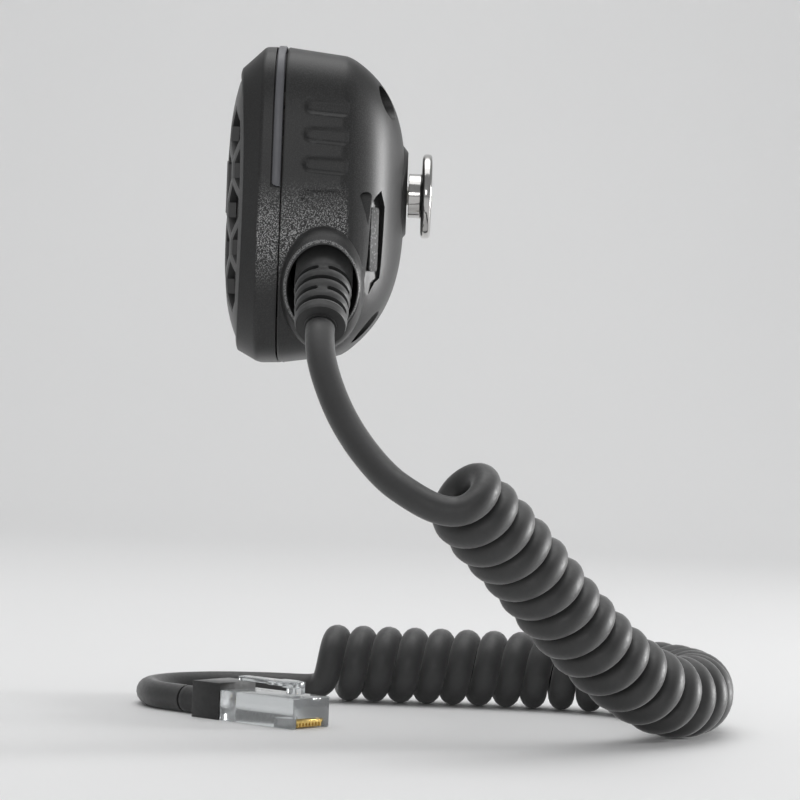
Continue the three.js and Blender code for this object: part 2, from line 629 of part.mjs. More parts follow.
function addCaseScrews() {
  for (const { name, x, z, seat } of CASE_SCREWS) {
    const headFrom = seat + GAP;
    const headTo = headFrom + CASE_SCREW.headHeight;
    const screw = screwBody({ ...CASE_SCREW, x, z, headFrom, headTo });
    add(name, cut(screw, crossRecess(x, z, headTo, CASE_SCREW.recess)), material.steel);
  }
}

// ---- strain relief ----
function cordBoot() {
  const { inner, outer, rootRadius, tipRadius } = BOOT;
  const cone = along(turned([
    [0, inner - 6], [rootRadius, inner - 6], [rootRadius, 0], [tipRadius + 0.15, outer - 2.2],
    [tipRadius, outer - 0.5], [tipRadius - 0.5, outer], [0, outer],
  ], 20), BOOT_ROOT, BOOT_DIRECTION);
  const plate = loft([
    ellipseRing(20.6, BOOT_ROOT.y, -15.3, 7.2, 8.5),
    ellipseRing(22.2, BOOT_ROOT.y, -15.3, 7.2, 8.5),
  ]);
  const insideCut = box([0, -40, -60], [20.6, 0, 20]);
  let boot = union(cone, plate).subtract(insideCut);
  // flex slots: pairs at the two sides alternate with pairs over the top and bottom
  BOOT_SLOTS.places.forEach((place, i) => {
    const quarter = BOOT_SLOT_TURN + (i % 2 ? Math.PI / 2 : 0);
    for (const turn of [quarter, quarter + Math.PI]) {
      const slot = new THREE.BoxGeometry(BOOT_SLOTS.length, BOOT_SLOTS.width, 5);
      slot.translate(0, place, rootRadius + 2.5 - BOOT_SLOTS.depth);
      slot.rotateY(turn);
      boot = boot.subtract(along(slot, BOOT_ROOT, BOOT_DIRECTION));
    }
  });
  return boot;
}

// ---- cord and plug ----
function addCord() {
  add('cord_lead', tube(LEAD_ROUTE, CORD_DIAMETER / 2, 8, 8), material.rubber);
  add('cord_curl', tube(COIL_ROUTE, COIL_DIAMETER / 2, 12, 22), material.rubber);
  add('cord_tail', tube(TAIL_ROUTE, CORD_DIAMETER / 2, 8, 12), material.rubber);
}

// pieces of the plug are made along +Y from the end of the cord, then laid on the floor along its direction
function layOnFloor(body) {
  const mesh = geometryOf(body);
  const end = TAIL_ROUTE[TAIL_ROUTE.length - 1];
  mesh.rotateZ(Math.atan2(PLUG_DIRECTION.y, PLUG_DIRECTION.x) - Math.PI / 2);
  mesh.translate(end[0], end[1], CORD_Z);
  return solid(mesh);
}

function addPlug() {
  const { bootLength, bodyLength, halfWidth, height } = PLUG;
  const base = -CORD_DIAMETER / 2;
  const bootEnd = GAP + bootLength;
  const neck = solid(turned([
    [0, GAP], [CORD_DIAMETER / 2 - 0.05, GAP], [CORD_DIAMETER / 2, 1.5],
    [CORD_DIAMETER / 2, bootEnd - 2], [0, bootEnd - 2],
  ], 20));
  const shoulder = box([-halfWidth, GAP + 7, base], [halfWidth, bootEnd, base + height]);
  const bodyFrom = bootEnd + GAP;
  const bodyTo = bodyFrom + bodyLength;
  const body = cut(
    box([-halfWidth, bodyFrom, base], [halfWidth, bodyTo, base + 6.6]),
    box([-4.6, bodyTo - 6.2, base - 1], [4.6, bodyTo + 1, base + 2.2]),
  );
  const contacts = union(
    box([-4.2, bodyTo - 5.9, base + 1.2], [4.2, bodyTo - 0.4, base + 1.9]),
    ...Array.from({ length: 8 }, (_, i) => {
      const x = (i - 3.5) * 1.02;
      return box([x - 0.25, bodyTo - 5.9, base + 0.3], [x + 0.25, bodyTo - 0.4, base + 1.5]);
    }),
  );
  const latch = union(
    box([-1.6, bodyFrom + 1.2, base + 8.6], [1.6, bodyTo - 6, base + 9.6]),
    box([-3.0, bodyFrom + 11.0, base + 8.6], [3.0, bodyTo - 6, base + 9.6]),
    box([-1.6, bodyTo - 6.1, base + 6.9], [1.6, bodyTo - 3.4, base + 8.4]),
    box([-1.6, bodyTo - 7.4, base + 8.2], [1.6, bodyTo - 3.4, base + 9.6]),
  );
  add('plug_boot', layOnFloor(union(neck, shoulder)), material.rubber);
  add('plug_body', layOnFloor(body), material.clear);
  add('plug_contacts', layOnFloor(contacts), material.gold);
  add('plug_latch', layOnFloor(latch), material.clear);
}

// ---- assembly ----
add('rear_shell', rearShell(), material.shell);
add('front_shell', frontShell(), material.shell);
add('trim_band', trimBand(), material.trim);
add('mic_grille', micGrille(), material.grille);
add('grille_cloth', grilleCloth(), material.cloth);
add('label_plate', labelPlate(), material.label);
addCartridge();
addBracket();
addBoard();
addSwitch();
addWiring();
addPtt();
addButton();
addCaseScrews();
add('cord_boot', cordBoot(), material.rubber);
addCord();
addPlug();

export default model;
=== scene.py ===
"""Hand microphone with a curly cord: the looks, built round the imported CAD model. Metres, +Z up.

The grille faces -Y, the back +Y, and the cord leaves the +X side. The origin is the outer face
of the hang-up button.
"""

import json
import math

import bpy
import numpy as np
from mathutils import Matrix, Vector


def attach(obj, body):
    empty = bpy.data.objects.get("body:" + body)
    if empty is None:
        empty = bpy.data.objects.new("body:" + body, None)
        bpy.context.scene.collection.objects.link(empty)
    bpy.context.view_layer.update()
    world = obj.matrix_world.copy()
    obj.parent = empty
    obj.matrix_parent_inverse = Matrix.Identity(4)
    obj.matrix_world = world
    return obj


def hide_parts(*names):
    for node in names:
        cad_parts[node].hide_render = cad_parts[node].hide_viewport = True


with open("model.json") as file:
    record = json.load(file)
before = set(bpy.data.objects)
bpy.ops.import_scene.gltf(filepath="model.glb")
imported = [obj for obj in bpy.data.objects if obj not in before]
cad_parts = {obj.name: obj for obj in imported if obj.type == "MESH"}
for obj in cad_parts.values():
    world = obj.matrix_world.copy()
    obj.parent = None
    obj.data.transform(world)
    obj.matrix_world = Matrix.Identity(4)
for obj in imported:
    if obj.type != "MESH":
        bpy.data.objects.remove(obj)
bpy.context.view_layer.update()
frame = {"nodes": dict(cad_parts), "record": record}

# ---- sizes shared with the CAD model ----
FLOOR_Z = -0.1155
CORD_DIAMETER = 0.006
COIL_DIAMETER = 0.0178
CORD_Z = FLOOR_Z + CORD_DIAMETER / 2
COIL_Z = FLOOR_Z + COIL_DIAMETER / 2
CORD_EXIT = (0.0402, -0.0219, -0.0305)
LEAD_ROUTE = [
    CORD_EXIT, (0.0420, -0.0219, -0.0321), (0.0448, -0.0214, -0.0362), (0.0473, -0.0197, -0.0416),
    (0.0499, -0.0166, -0.0482), (0.0530, -0.0120, -0.0548), (0.0562, -0.0062, -0.0606),
    (0.0588, 0.0008, -0.0649),
]
COIL_ROUTE = [
    (0.055, 0.0071, -0.0627), (0.042, 0.0205, -0.0760), (0.032, 0.0318, -0.0885), (0.022, 0.0432, -0.0990),
    (0.010, 0.0535, -0.1052), (-0.005, 0.0609, COIL_Z), (-0.022, 0.0625, COIL_Z), (-0.038, 0.057, COIL_Z),
    (-0.048, 0.045, COIL_Z), (-0.052, 0.030, COIL_Z), (-0.053, 0.012, COIL_Z), (-0.053, -0.006, COIL_Z),
    (-0.053, -0.024, COIL_Z),
]
TAIL_ROUTE = [
    (-0.053, -0.0244, CORD_Z), (-0.053, -0.035, CORD_Z), (-0.050, -0.0465, CORD_Z),
    (-0.0425, -0.0555, CORD_Z), (-0.032, -0.0595, CORD_Z), (-0.022, -0.057, CORD_Z), (-0.015, -0.050, CORD_Z),
]

SQUARENESS = 5
TAPER = 0.03
WALL = 0.0022
GAP = 0.0003
SEAM_GAP = 0.00016       # between the two shells, as seen
SEAM_Y = -0.0314
CREASE_Y = -0.0184
CREST_Y = -0.0058
BEVEL_Y = -0.03605
TRIM_FRONT_Y = -0.03345
TRIM_LOW_Z = -0.001
FRONT_CREST_Y = -0.0439
SEAM_OUTLINE = {"half": 0.0290, "top": 0.0297, "bottom": -0.0371}
BEVEL_OUTLINE = {"half": 0.0291, "top": 0.0296, "bottom": -0.0373}
CREASE_OUTLINE = {"half": 0.0286, "top": 0.0282, "bottom": -0.0351}
RIM_OUTLINE = {"half": 0.0247, "top": 0.0249, "bottom": -0.0349}
DOME_CENTRE_LIFT = 0.0012
COLLAR_Y, COLLAR_Z = -0.0222, -0.0217
COLLAR_BASE = (0.0088, 0.0128)
COLLAR_RIM = {"x": 0.0314, "half_y": 0.0079, "half_z": 0.0097, "tilt": 0.10}


# ---- camera, floor and light ----
CAMERA_PLACE = Vector((0.650, -0.0051, -0.0444))
CAMERA_ROLL = math.radians(2.2)
CAMERA_LENS = 134.6


def make_camera():
    data = bpy.data.cameras.new("camera")
    data.sensor_width = 36
    data.lens = CAMERA_LENS
    data.clip_start = 0.01
    data.clip_end = 20
    camera = bpy.data.objects.new("camera", data)
    right = Vector((0, math.cos(CAMERA_ROLL), math.sin(CAMERA_ROLL)))
    up = Vector((0, -math.sin(CAMERA_ROLL), math.cos(CAMERA_ROLL)))
    turn = Matrix((right, up, right.cross(up))).transposed().to_4x4()
    camera.matrix_world = Matrix.Translation(CAMERA_PLACE) @ turn
    bpy.context.scene.collection.objects.link(camera)
    bpy.context.scene.camera = camera


# ---- curves and the cord ----
def smooth_route(points, step):
    """A centripetal Catmull-Rom curve through the points, sampled about every step."""
    inner = [np.array(p, float) for p in points]
    knots = [2 * inner[0] - inner[1], *inner, 2 * inner[-1] - inner[-2]]
    line = []
    for a, b, c, d in zip(knots, knots[1:], knots[2:], knots[3:]):
        t1 = math.sqrt(np.linalg.norm(b - a))
        t2 = t1 + math.sqrt(np.linalg.norm(c - b))
        t3 = t2 + math.sqrt(np.linalg.norm(d - c))
        count = max(2, math.ceil(np.linalg.norm(c - b) / step))
        for t in t1 + (t2 - t1) * np.arange(count) / count:
            ab = a + (b - a) * t / t1
            bc = b + (c - b) * (t - t1) / (t2 - t1)
            cd = c + (d - c) * (t - t2) / (t3 - t2)
            abc = ab + (bc - ab) * t / t2
            bcd = bc + (cd - bc) * (t - t1) / (t3 - t1)
            line.append(abc + (bcd - abc) * (t - t1) / (t2 - t1))
    line.append(inner[-1])
    return np.array(line)


def distances(line):
    return np.concatenate([[0], np.cumsum(np.linalg.norm(np.diff(line, axis=0), axis=1))])


def evenly(line, step):
    """The same line with points the same distance apart."""
    along = distances(line)
    wanted = np.linspace(0, along[-1], max(2, round(along[-1] / step) + 1))
    return np.stack([np.interp(wanted, along, line[:, i]) for i in range(3)], axis=1)


def unit(v):
    return v / np.linalg.norm(v)


def bridge(before, after, pull, step):
    """A smooth curve from the end of one line to the start of the next, along both their directions."""
    start, end = before[-1], after[0]
    leaving = unit(before[-1] - before[-4]) * pull
    arriving = unit(after[3] - after[0]) * pull
    t = np.linspace(0, 1, max(4, round(np.linalg.norm(end - start) / step)))[1:-1, None]
    blend = t * t * (3 - 2 * t)
    return start + (end - start) * blend + leaving * t * (1 - t) ** 2 - arriving * t * t * (1 - t)


COIL_RADIUS = (COIL_DIAMETER - CORD_DIAMETER) / 2
COIL_START_TURN = math.radians(60)    # where on the coil the lead joins it, from its lower left
COIL_PITCH = 1.01 * CORD_DIAMETER
COIL_END_TRIM = 0.004                 # the last turn stops short, for the tail to run out of it
COIL_MAX_CURVE = 60                   # its turns follow no tighter bend of its middle line, in 1/m
AXIS_STEP = 0.0001
BEND_BLUR = 120                       # axis steps each way that a bend is averaged over
ROUTE_STEP = 0.0005
JOIN_STEP = 0.0004
CORD_STEP = 0.001


def curl():
    """The helix round the coil's middle line. Its turns touch on the inside of a bend."""
    axis = evenly(smooth_route(COIL_ROUTE, AXIS_STEP), AXIS_STEP)
    tangent = np.gradient(axis, axis=0)
    tangent /= np.linalg.norm(tangent, axis=1)[:, None]
    bend = np.linalg.norm(np.gradient(tangent, axis=0), axis=1) / AXIS_STEP
    window = 2 * BEND_BLUR + 1
    bend = np.convolve(np.pad(bend, BEND_BLUR, mode="edge"), np.ones(window) / window, mode="valid")
    side = np.array([0, -1, -1]) / math.sqrt(2)
    turn = COIL_START_TURN
    line = []
    for place, along, curve in zip(axis, tangent, bend):
        side = unit(side - along * side.dot(along))
        other = np.cross(side, along)
        line.append(place + COIL_RADIUS * (math.cos(turn) * side + math.sin(turn) * other))
        turn += 2 * math.pi * AXIS_STEP * (1 - COIL_RADIUS * min(curve, COIL_MAX_CURVE)) / COIL_PITCH
    keep = len(axis) - round(COIL_END_TRIM / AXIS_STEP)
    return np.array(line[:keep])


def eased(line, place, reach=0.012, rounds=24):
    """The same line with its bends relaxed near a place."""
    share = 0.5 * np.clip(1 - np.linalg.norm(line[1:-1] - place, axis=1) / reach, 0, 1)[:, None]
    for _ in range(rounds):
        line[1:-1] += share * ((line[:-2] + line[2:]) / 2 - line[1:-1])
    return line


def cord_line():
    """The cord's whole middle line: the lead, the coil and the tail, with a smooth join between them."""
    lead = smooth_route(LEAD_ROUTE, ROUTE_STEP)
    coil = curl()
    tail = smooth_route(TAIL_ROUTE, ROUTE_STEP)
    tail = tail[distances(tail) > 0.008]
    coil = coil[distances(coil) > 0.001]
    into_coil, out_of_coil = bridge(lead, coil, 0.006, JOIN_STEP), bridge(coil, tail, 0.014, JOIN_STEP)
    line = np.concatenate([lead, into_coil, coil, out_of_coil, tail])
    line[:, 2] = np.maximum(line[:, 2], CORD_Z)
    line = evenly(line, CORD_STEP)
    for before, after in ((lead, coil), (coil, tail)):
        line = eased(line, (before[-1] + after[0]) / 2)
    return line


def make_cord():
    data = bpy.data.curves.new("microphone_cord", "CURVE")
    data.dimensions = "3D"
    data.bevel_depth = 1.0
    data.bevel_resolution = 7
    data.use_fill_caps = True
    line = cord_line()
    spline = data.splines.new("POLY")
    spline.points.add(len(line) - 1)
    spline.points.foreach_set("co", np.column_stack([line, np.ones(len(line))]).ravel())
    spline.points.foreach_set("radius", np.full(len(line), CORD_DIAMETER / 2))
    spline.use_smooth = True
    cord = bpy.data.objects.new("microphone_cord", data)
    bpy.context.scene.collection.objects.link(cord)
    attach(cord, "microphone")
    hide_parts("cord_lead", "cord_curl", "cord_tail")
    return cord


# ---- meshes ----
def piece(name, points, faces):
    data = bpy.data.meshes.new(name)
    data.from_pydata(np.asarray(points).tolist(), [], [list(map(int, f)) for f in faces])
    made = bpy.data.objects.new(name, data)
    bpy.context.scene.collection.objects.link(made)
    return made


def loft(name, rings):
    """A closed skin over a stack of rings with the same number of points, with a fan over each end."""
    rings = np.asarray(rings, float)
    stations, count = rings.shape[:2]
    k, i = np.meshgrid(np.arange(stations - 1), np.arange(count), indexing="ij")
    a = (k * count + i).ravel()
    b = (k * count + (i + 1) % count).ravel()
    faces = np.stack([a, b, b + count, a + count], axis=1).tolist()
    ends = [rings[0].mean(axis=0), rings[-1].mean(axis=0)]
    first, last = stations * count, stations * count + 1
    top = (stations - 1) * count
    for j in range(count):
        faces.append([(j + 1) % count, j, first])
        faces.append([top + j, top + (j + 1) % count, last])
    points = np.concatenate([rings.reshape(-1, 3), ends])
    middle = points.mean(axis=0)
    volume = 0.0
    for f in faces:
        p = [points[v] - middle for v in f]
        for one, two in zip(p[1:], p[2:]):
            volume += np.dot(p[0], np.cross(one, two))
    if volume < 0:
        faces = [f[::-1] for f in faces]
    return piece(name, points, faces)


def circle(radius, sides):
    angles = even_angles(sides)
    return radius * np.cos(angles), radius * np.sin(angles)


def axes_along(direction):
    """Two directions square to this one and to each other, then this one."""
    along = unit(np.array(direction, float))
    helper = np.array([0, 0, 1]) if abs(along[2]) < 0.9 else np.array([0, 1, 0])
    across = unit(np.cross(helper, along))
    return across, np.cross(along, across), along


def turned(name, profile, origin=(0, 0, 0), direction=(0, 1, 0), sides=64):
    """A turned solid: profile points are (radius, distance along the direction)."""
    across, up, along = axes_along(direction)
    rings = []
    for radius, distance in profile:
        u, v = circle(radius, sides)
        rings.append(np.array(origin) + distance * along + u[:, None] * across + v[:, None] * up)
    return loft(name, rings)


def combine(target, tools, operation="DIFFERENCE"):
    """Cuts the tools from the target, or joins them to it, and removes them."""
    for tool in tools:
        step = target.modifiers.new("combine", "BOOLEAN")
        step.operation = operation
        step.solver = "MANIFOLD"
        step.object = tool
    settle(target)
    for tool in tools:
        bpy.data.objects.remove(tool)
    return target


def settle(target):
    """Applies the modifiers."""
    evaluated = target.evaluated_get(bpy.context.evaluated_depsgraph_get())
    data = bpy.data.meshes.new_from_object(evaluated)
    target.modifiers.clear()
    target.data = data
    return target


def mark_hollows(target, is_hollow):
    """Stores on each face whether it lies down in a pocket, which a finish shows as shadow."""
    faces = target.data.polygons
    centres = np.empty(3 * len(faces))
    faces.foreach_get("center", centres)
    marks = is_hollow(*centres.reshape(-1, 3).T).astype(float)
    target.data.attributes.new("hollow", "FLOAT", "FACE").data.foreach_set("value", marks)


def dress(target, slot, *nodes, body="microphone", sharp=30):
    """Smooth shading with crisp edges, its slot's look, the body it rides on and the nodes it stands for."""
    target.data.polygons.foreach_set("use_smooth", [True] * len(target.data.polygons))
    target.data.set_sharp_from_angle(angle=math.radians(sharp))
    target.data.materials.clear()
    target.data.materials.append(LOOKS[slot])
    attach(target, body)
    if nodes:
        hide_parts(*nodes)
    return target


# ---- materials ----
class Finish:
    """A material with one Principled shader, and short ways to add nodes to it."""

    def __init__(self, name, roughness=0.5, **constants):
        self.material = bpy.data.materials.new(name)
        self.material.use_nodes = True
        self.nodes = self.material.node_tree.nodes
        self.links = self.material.node_tree.links
        self.shader = self.nodes["Principled BSDF"]
        self.shader.inputs["Roughness"].default_value = roughness
        for socket, value in constants.items():
            self.shader.inputs[socket.replace("_", " ")].default_value = value
        self.place = self.nodes.new("ShaderNodeTexCoord").outputs["Object"]

    def noise(self, size, detail=2.0, stretch=None):
        """Noise with features about this size, from 0 to 1."""
        node = self.nodes.new("ShaderNodeTexNoise")
        node.inputs["Scale"].default_value = 1 / size
        node.inputs["Detail"].default_value = detail
        place = self.place
        if stretch:
            mapping = self.nodes.new("ShaderNodeMapping")
            mapping.inputs["Scale"].default_value = stretch
            self.links.new(place, mapping.inputs["Vector"])
            place = mapping.outputs["Vector"]
        self.links.new(place, node.inputs["Vector"])
        return node.outputs["Fac"]

    def around(self, middle, half):
        """Distance from an ellipse's middle in Y and Z, squared: 1 on the ellipse."""
        total = 0.0
        for name, centre, reach in zip("YZ", middle, half):
            share = self.sums("DIVIDE", self.sums("SUBTRACT", self.axis(name), centre), reach)
            total = self.sums("ADD", self.product(share, share), total)
        return total

    def attribute(self, name):
        """A number stored on the mesh."""
        node = self.nodes.new("ShaderNodeAttribute")
        node.attribute_name = name
        return node.outputs["Fac"]

    def cells(self, size):
        """Distance to the middle of the nearest cell of about this size."""
        node = self.nodes.new("ShaderNodeTexVoronoi")
        node.inputs["Scale"].default_value = 1 / size
        self.links.new(self.place, node.inputs["Vector"])
        return node.outputs["Distance"]

    def span(self, value, low, high, out_low=0.0, out_high=1.0):
        """The value taken from low..high to out_low..out_high, smoothly and no further."""
        node = self.nodes.new("ShaderNodeMapRange")
        node.interpolation_type = "SMOOTHSTEP"
        self.links.new(value, node.inputs["Value"])
        sockets = ("From Min", "From Max", "To Min", "To Max")
        for socket, number in zip(sockets, (low, high, out_low, out_high)):
            node.inputs[socket].default_value = number
        return node.outputs["Result"]

    def sums(self, operation, one, two):
        node = self.nodes.new("ShaderNodeMath")
        node.operation = operation
        for socket, value in zip(node.inputs, (one, two)):
            if isinstance(value, (int, float)):
                socket.default_value = value
            else:
                self.links.new(value, socket)
        return node.outputs[0]

    def product(self, value, *others):
        for other in others:
            value = self.sums("MULTIPLY", value, other)
        return value

    def axis(self, name):
        """One coordinate of the place on the surface, in metres."""
        node = self.nodes.new("ShaderNodeSeparateXYZ")
        self.links.new(self.place, node.inputs[0])
        return node.outputs[name]

    def mix(self, share, one, two):
        """One colour turning into another by share."""
        node = self.nodes.new("ShaderNodeMix")
        node.data_type = "RGBA"
        self.links.new(share, node.inputs[0])
        for socket, colour in ((node.inputs[6], one), (node.inputs[7], two)):
            if isinstance(colour, (int, float, tuple)):
                socket.default_value = rgba(colour)
            else:
                self.links.new(colour, socket)
        return node.outputs[2]

    def bump(self, height, distance, strength=1.0):
        node = self.nodes.new("ShaderNodeBump")
        node.inputs["Distance"].default_value = distance
        node.inputs["Strength"].default_value = strength
        self.links.new(height, node.inputs["Height"])
        if self.shader.inputs["Normal"].links:
            self.links.new(self.shader.inputs["Normal"].links[0].from_socket, node.inputs["Normal"])
        self.links.new(node.outputs["Normal"], self.shader.inputs["Normal"])

    def set(self, socket, value):
        self.links.new(value, self.shader.inputs[socket])


def rgba(colour):
    return (colour, colour, colour, 1.0) if isinstance(colour, (int, float)) else (*colour, 1.0)


def shell_finish():
    """Spark-eroded black plastic: a coarse grain low on the side walls whose bright specks are a painted
    highlight, a fine dark grain elsewhere, a painted highlight along the collar's rim and painted shade in
    the teardrop pockets.
    """
    look = Finish("moulded_shell", 0.45)
    x, y, z = (look.axis(n) for n in "XYZ")
    wall = look.span(look.sums("ABSOLUTE", x, 0), 0.0225, 0.0255)
    low = look.product(look.span(z, 0.0020, -0.0115), look.span(z, -0.0240, -0.0115))
    before_crease = look.span(look.sums("ADD", y, look.product(z, 0.026)), -0.0172, -0.0182)
    behind_bevel = look.span(y, -0.0364, -0.0359)
    beside_collar = look.span(look.around((COLLAR_Y, COLLAR_Z), COLLAR_BASE), 0.97, 1.05)
    # the band where the side walls catch the light: here the grain's specks are painted bright as a
    # highlight, and the grain's bump is stronger
    coarse = look.product(wall, low, before_crease, behind_bevel, beside_collar)
    grain = look.noise(0.00026, 2.0)
    fine = look.noise(0.00024, 2.0)
    plain = look.mix(look.noise(0.011, 3.0), 0.009, 0.013)
    plain = look.mix(look.span(fine, 0.42, 0.66), plain, 0.027)
    # bright grain specks: a painted highlight in the colour, not a lighter plastic
    glint_specks = look.span(grain, 0.48, 0.63)
    from_rim = look.around((COLLAR_Y, COLLAR_Z), (COLLAR_RIM["half_y"], COLLAR_RIM["half_z"]))
    on_rim = look.product(look.span(from_rim, 0.86, 0.90), look.span(from_rim, 1.04, 0.98))
    # a painted highlight along the collar's rim, broken up by the grain
    rim_highlight = look.product(on_rim, look.span(x, 0.0300, 0.0306), look.span(grain, 0.35, 0.6))
    with_painted_glints = look.mix(look.product(glint_specks, coarse), plain, 0.44)
    with_rim_highlight = look.mix(rim_highlight, with_painted_glints, 0.24)
    # faces marked hollow (the teardrop pockets) are painted near black as shade
    look.set("Base Color", look.mix(look.attribute("hollow"), with_rim_highlight, 0.002))
    look.set("Roughness", look.sums("ADD", 0.36, look.product(fine, 0.18)))
    look.bump(look.product(grain, look.sums("ADD", 0.2, coarse)), 0.00010, 0.6)
    look.bump(fine, 0.00003, 0.5)
    return look.material


def satin_finish(name, dark, light, roughness, grain=0.0003, depth=0.00002):
    """Evenly coloured moulded plastic with a slight cloud in its colour and a fine grain."""
    look = Finish(name, roughness)
    look.set("Base Color", look.mix(look.noise(0.006, 3.0), dark, light))
    look.set("Roughness", look.span(look.noise(0.0011, 2.0), 0.3, 0.7, roughness - 0.06, roughness + 0.06))
    look.bump(look.noise(grain, 2.0), depth, 0.6)
    return look.material


def rubber_finish(name, level, roughness):
    """Matte extruded jacket: soft sheen, uneven dust and faint marks."""
    look = Finish(name, roughness, Sheen_Weight=0.25, Sheen_Roughness=0.5)
    clouds = look.noise(0.004, 4.0)
    look.set("Base Color", look.mix(clouds, level * 0.85, level * 1.2))
    look.set("Roughness", look.span(look.noise(0.0009, 3.0), 0.3, 0.75, roughness - 0.07, roughness + 0.07))
    look.bump(look.noise(0.0005, 3.0), 0.00002, 0.6)
    return look.material


def metal_finish(name, colour, roughness, streaks=(1, 1, 1)):
    """Plated or turned metal with fine marks and slightly uneven polish."""
    look = Finish(name, roughness, Metallic=1.0)
    marks = look.noise(0.0009, 4.0, streaks)
    look.set("Base Color", look.mix(marks, tuple(0.86 * c for c in colour), colour))
    look.set("Roughness", look.span(marks, 0.35, 0.75, roughness, roughness + 0.09))
    look.bump(marks, 0.000006, 0.4)
    return look.material


def grille_finish():
    """Grey plastic ribs whose flanks fall away into shadow."""
    look = Finish("grille_plastic", 0.38)
    ribs = look.mix(look.noise(0.006, 3.0), 0.10, 0.13)
    look.set("Base Color", look.mix(look.attribute("hollow"), ribs, 0.006))
    look.bump(look.noise(0.0003, 2.0), 0.00002, 0.6)
    return look.material


def cloth_finish():
    """Black open-weave acoustic cloth."""
    look = Finish("acoustic_cloth", 0.95, Sheen_Weight=0.4)
    x, z = look.axis("X"), look.axis("Z")
    thread = 2 * math.pi / 0.0007
    warp = look.sums("SINE", look.product(x, thread), 0)
    weft = look.sums("SINE", look.product(z, thread), 0)
    weave = look.product(warp, weft)
    look.set("Base Color", look.mix(look.span(weave, -0.8, 0.8), 0.002, 0.009))
    look.bump(weave, 0.00015, 0.8)
    return look.material


def clear_finish():
    """Clear polycarbonate of a modular plug."""
    look = Finish("clear_plastic", 0.08, Transmission_Weight=0.85, IOR=1.58)
    look.set("Base Color", look.mix(look.noise(0.003, 2.0), (0.82, 0.85, 0.86), (0.9, 0.92, 0.93)))
    look.set("Roughness", look.span(look.noise(0.0006, 3.0), 0.4, 0.8, 0.05, 0.22))
    return look.material


def board_finish():
    """Green solder mask with a fine pattern of covered tracks."""
    look = Finish("circuit_board", 0.35)
    tracks = look.cells(0.0022)
    look.set("Base Color", look.mix(look.span(tracks, 0.42, 0.5), (0.012, 0.07, 0.03), (0.03, 0.14, 0.06)))
    look.bump(tracks, 0.00004, 0.5)
    return look.material


def label_finish():
    """Silver foil of the blank label, with a fine stipple."""
    look = Finish("silver_label", 0.6)
    stipple = look.cells(0.0007)
    look.set("Base Color", look.mix(look.span(stipple, 0.2, 0.45), 0.12, 0.025))
    look.bump(stipple, 0.00004, 0.5)
    return look.material


LOOKS = {
    "shell": shell_finish(),
    "trim": satin_finish("blue_grey_trim", (0.115, 0.116, 0.126), (0.14, 0.141, 0.152), 0.42),
    "grille": grille_finish(),
    "cloth": cloth_finish(),
    "rubber": rubber_finish("soft_rubber", 0.013, 0.55),
    "cord": rubber_finish("cord_jacket", 0.028, 0.5),
    "chrome": metal_finish("chrome_plate", (0.55, 0.54, 0.53), 0.1),
    "steel": metal_finish("zinc_steel", (0.5, 0.49, 0.46), 0.3),
    "board": board_finish(),
    "black": satin_finish("black_plastic", 0.012, 0.018, 0.45),
    "gold": metal_finish("gold_contacts", (0.85, 0.6, 0.2), 0.2),
    "clear": clear_finish(),
    "label": label_finish(),
}


def paint_cad_nodes():
    """Every CAD node takes the look of its slot in the record."""
    for part in frame["record"]["subparts"]:
        node = frame["nodes"][part["node"]]
        node.data.materials.clear()
        node.data.materials.append(LOOKS[part["material_slot"]])


# ---- stage ----
def make_floor():
    """A pale floor that rises into a plain backdrop behind the far side."""
    bend, bend_steps = 0.5, 12
    start = -0.8
    half_width, wall_height = 3.0, 2.2
    profile = [(2.4, 0.0), (0.9, 0.0), (0.3, 0.0), (-0.25, 0.0), (start, 0.0)]
    for k in range(1, bend_steps + 1):
        angle = math.pi / 2 * k / bend_steps
        profile.append((start - bend * math.sin(angle), bend - bend * math.cos(angle)))
    profile.append((start - bend, wall_height))
    points = [(x, side, FLOOR_Z + z) for x, z in profile for side in (-half_width, half_width)]
    faces = [(2 * k, 2 * k + 1, 2 * k + 3, 2 * k + 2) for k in range(len(profile) - 1)]
    floor = piece("studio_floor", points, faces)
    floor.data.polygons.foreach_set("use_smooth", [True] * len(faces))
    look = Finish("studio_paper", 0.6)
    look.set("Base Color", look.mix(look.noise(0.2, 2.0), 0.78, 0.8))
    floor.data.materials.append(look.material)


def make_light():
    world = bpy.data.worlds.new("studio")
    world.use_nodes = True
    sky = world.node_tree.nodes["Background"]
    sky.inputs["Color"].default_value = (0.98, 0.99, 1.0, 1.0)
    sky.inputs["Strength"].default_value = 0.33
    bpy.context.scene.world = world
    bpy.context.scene.view_settings.view_transform = "Standard"
    soft_light("light_above", (0.0, -0.1, 0.9), (0, 0, -0.05), (1.0, 1.2), 5.5)
    soft_light("light_backdrop", (-0.65, 0.0, 1.3), (-1.3, 0, 0.1), (0.8, 1.8), 4.6)
    soft_light("light_behind", (-0.22, 0.8, -0.03), (0, 0, -0.01), (0.16, 0.4), 9)
    soft_light("light_side", (0.9, -0.1, 0.12), (0, -0.02, -0.02), (0.3, 0.15), 0.8)


def soft_light(name, place, aim, size, power):
    data = bpy.data.lights.new(name, "AREA")
    data.shape = "RECTANGLE"
    data.size, data.size_y = size
    data.energy = power
    light = bpy.data.objects.new(name, data)
    light.location = place
    light.rotation_euler = (Vector(aim) - Vector(place)).to_track_quat("-Z", "Y").to_euler()
    light.visible_camera = False
    bpy.context.scene.collection.objects.link(light)


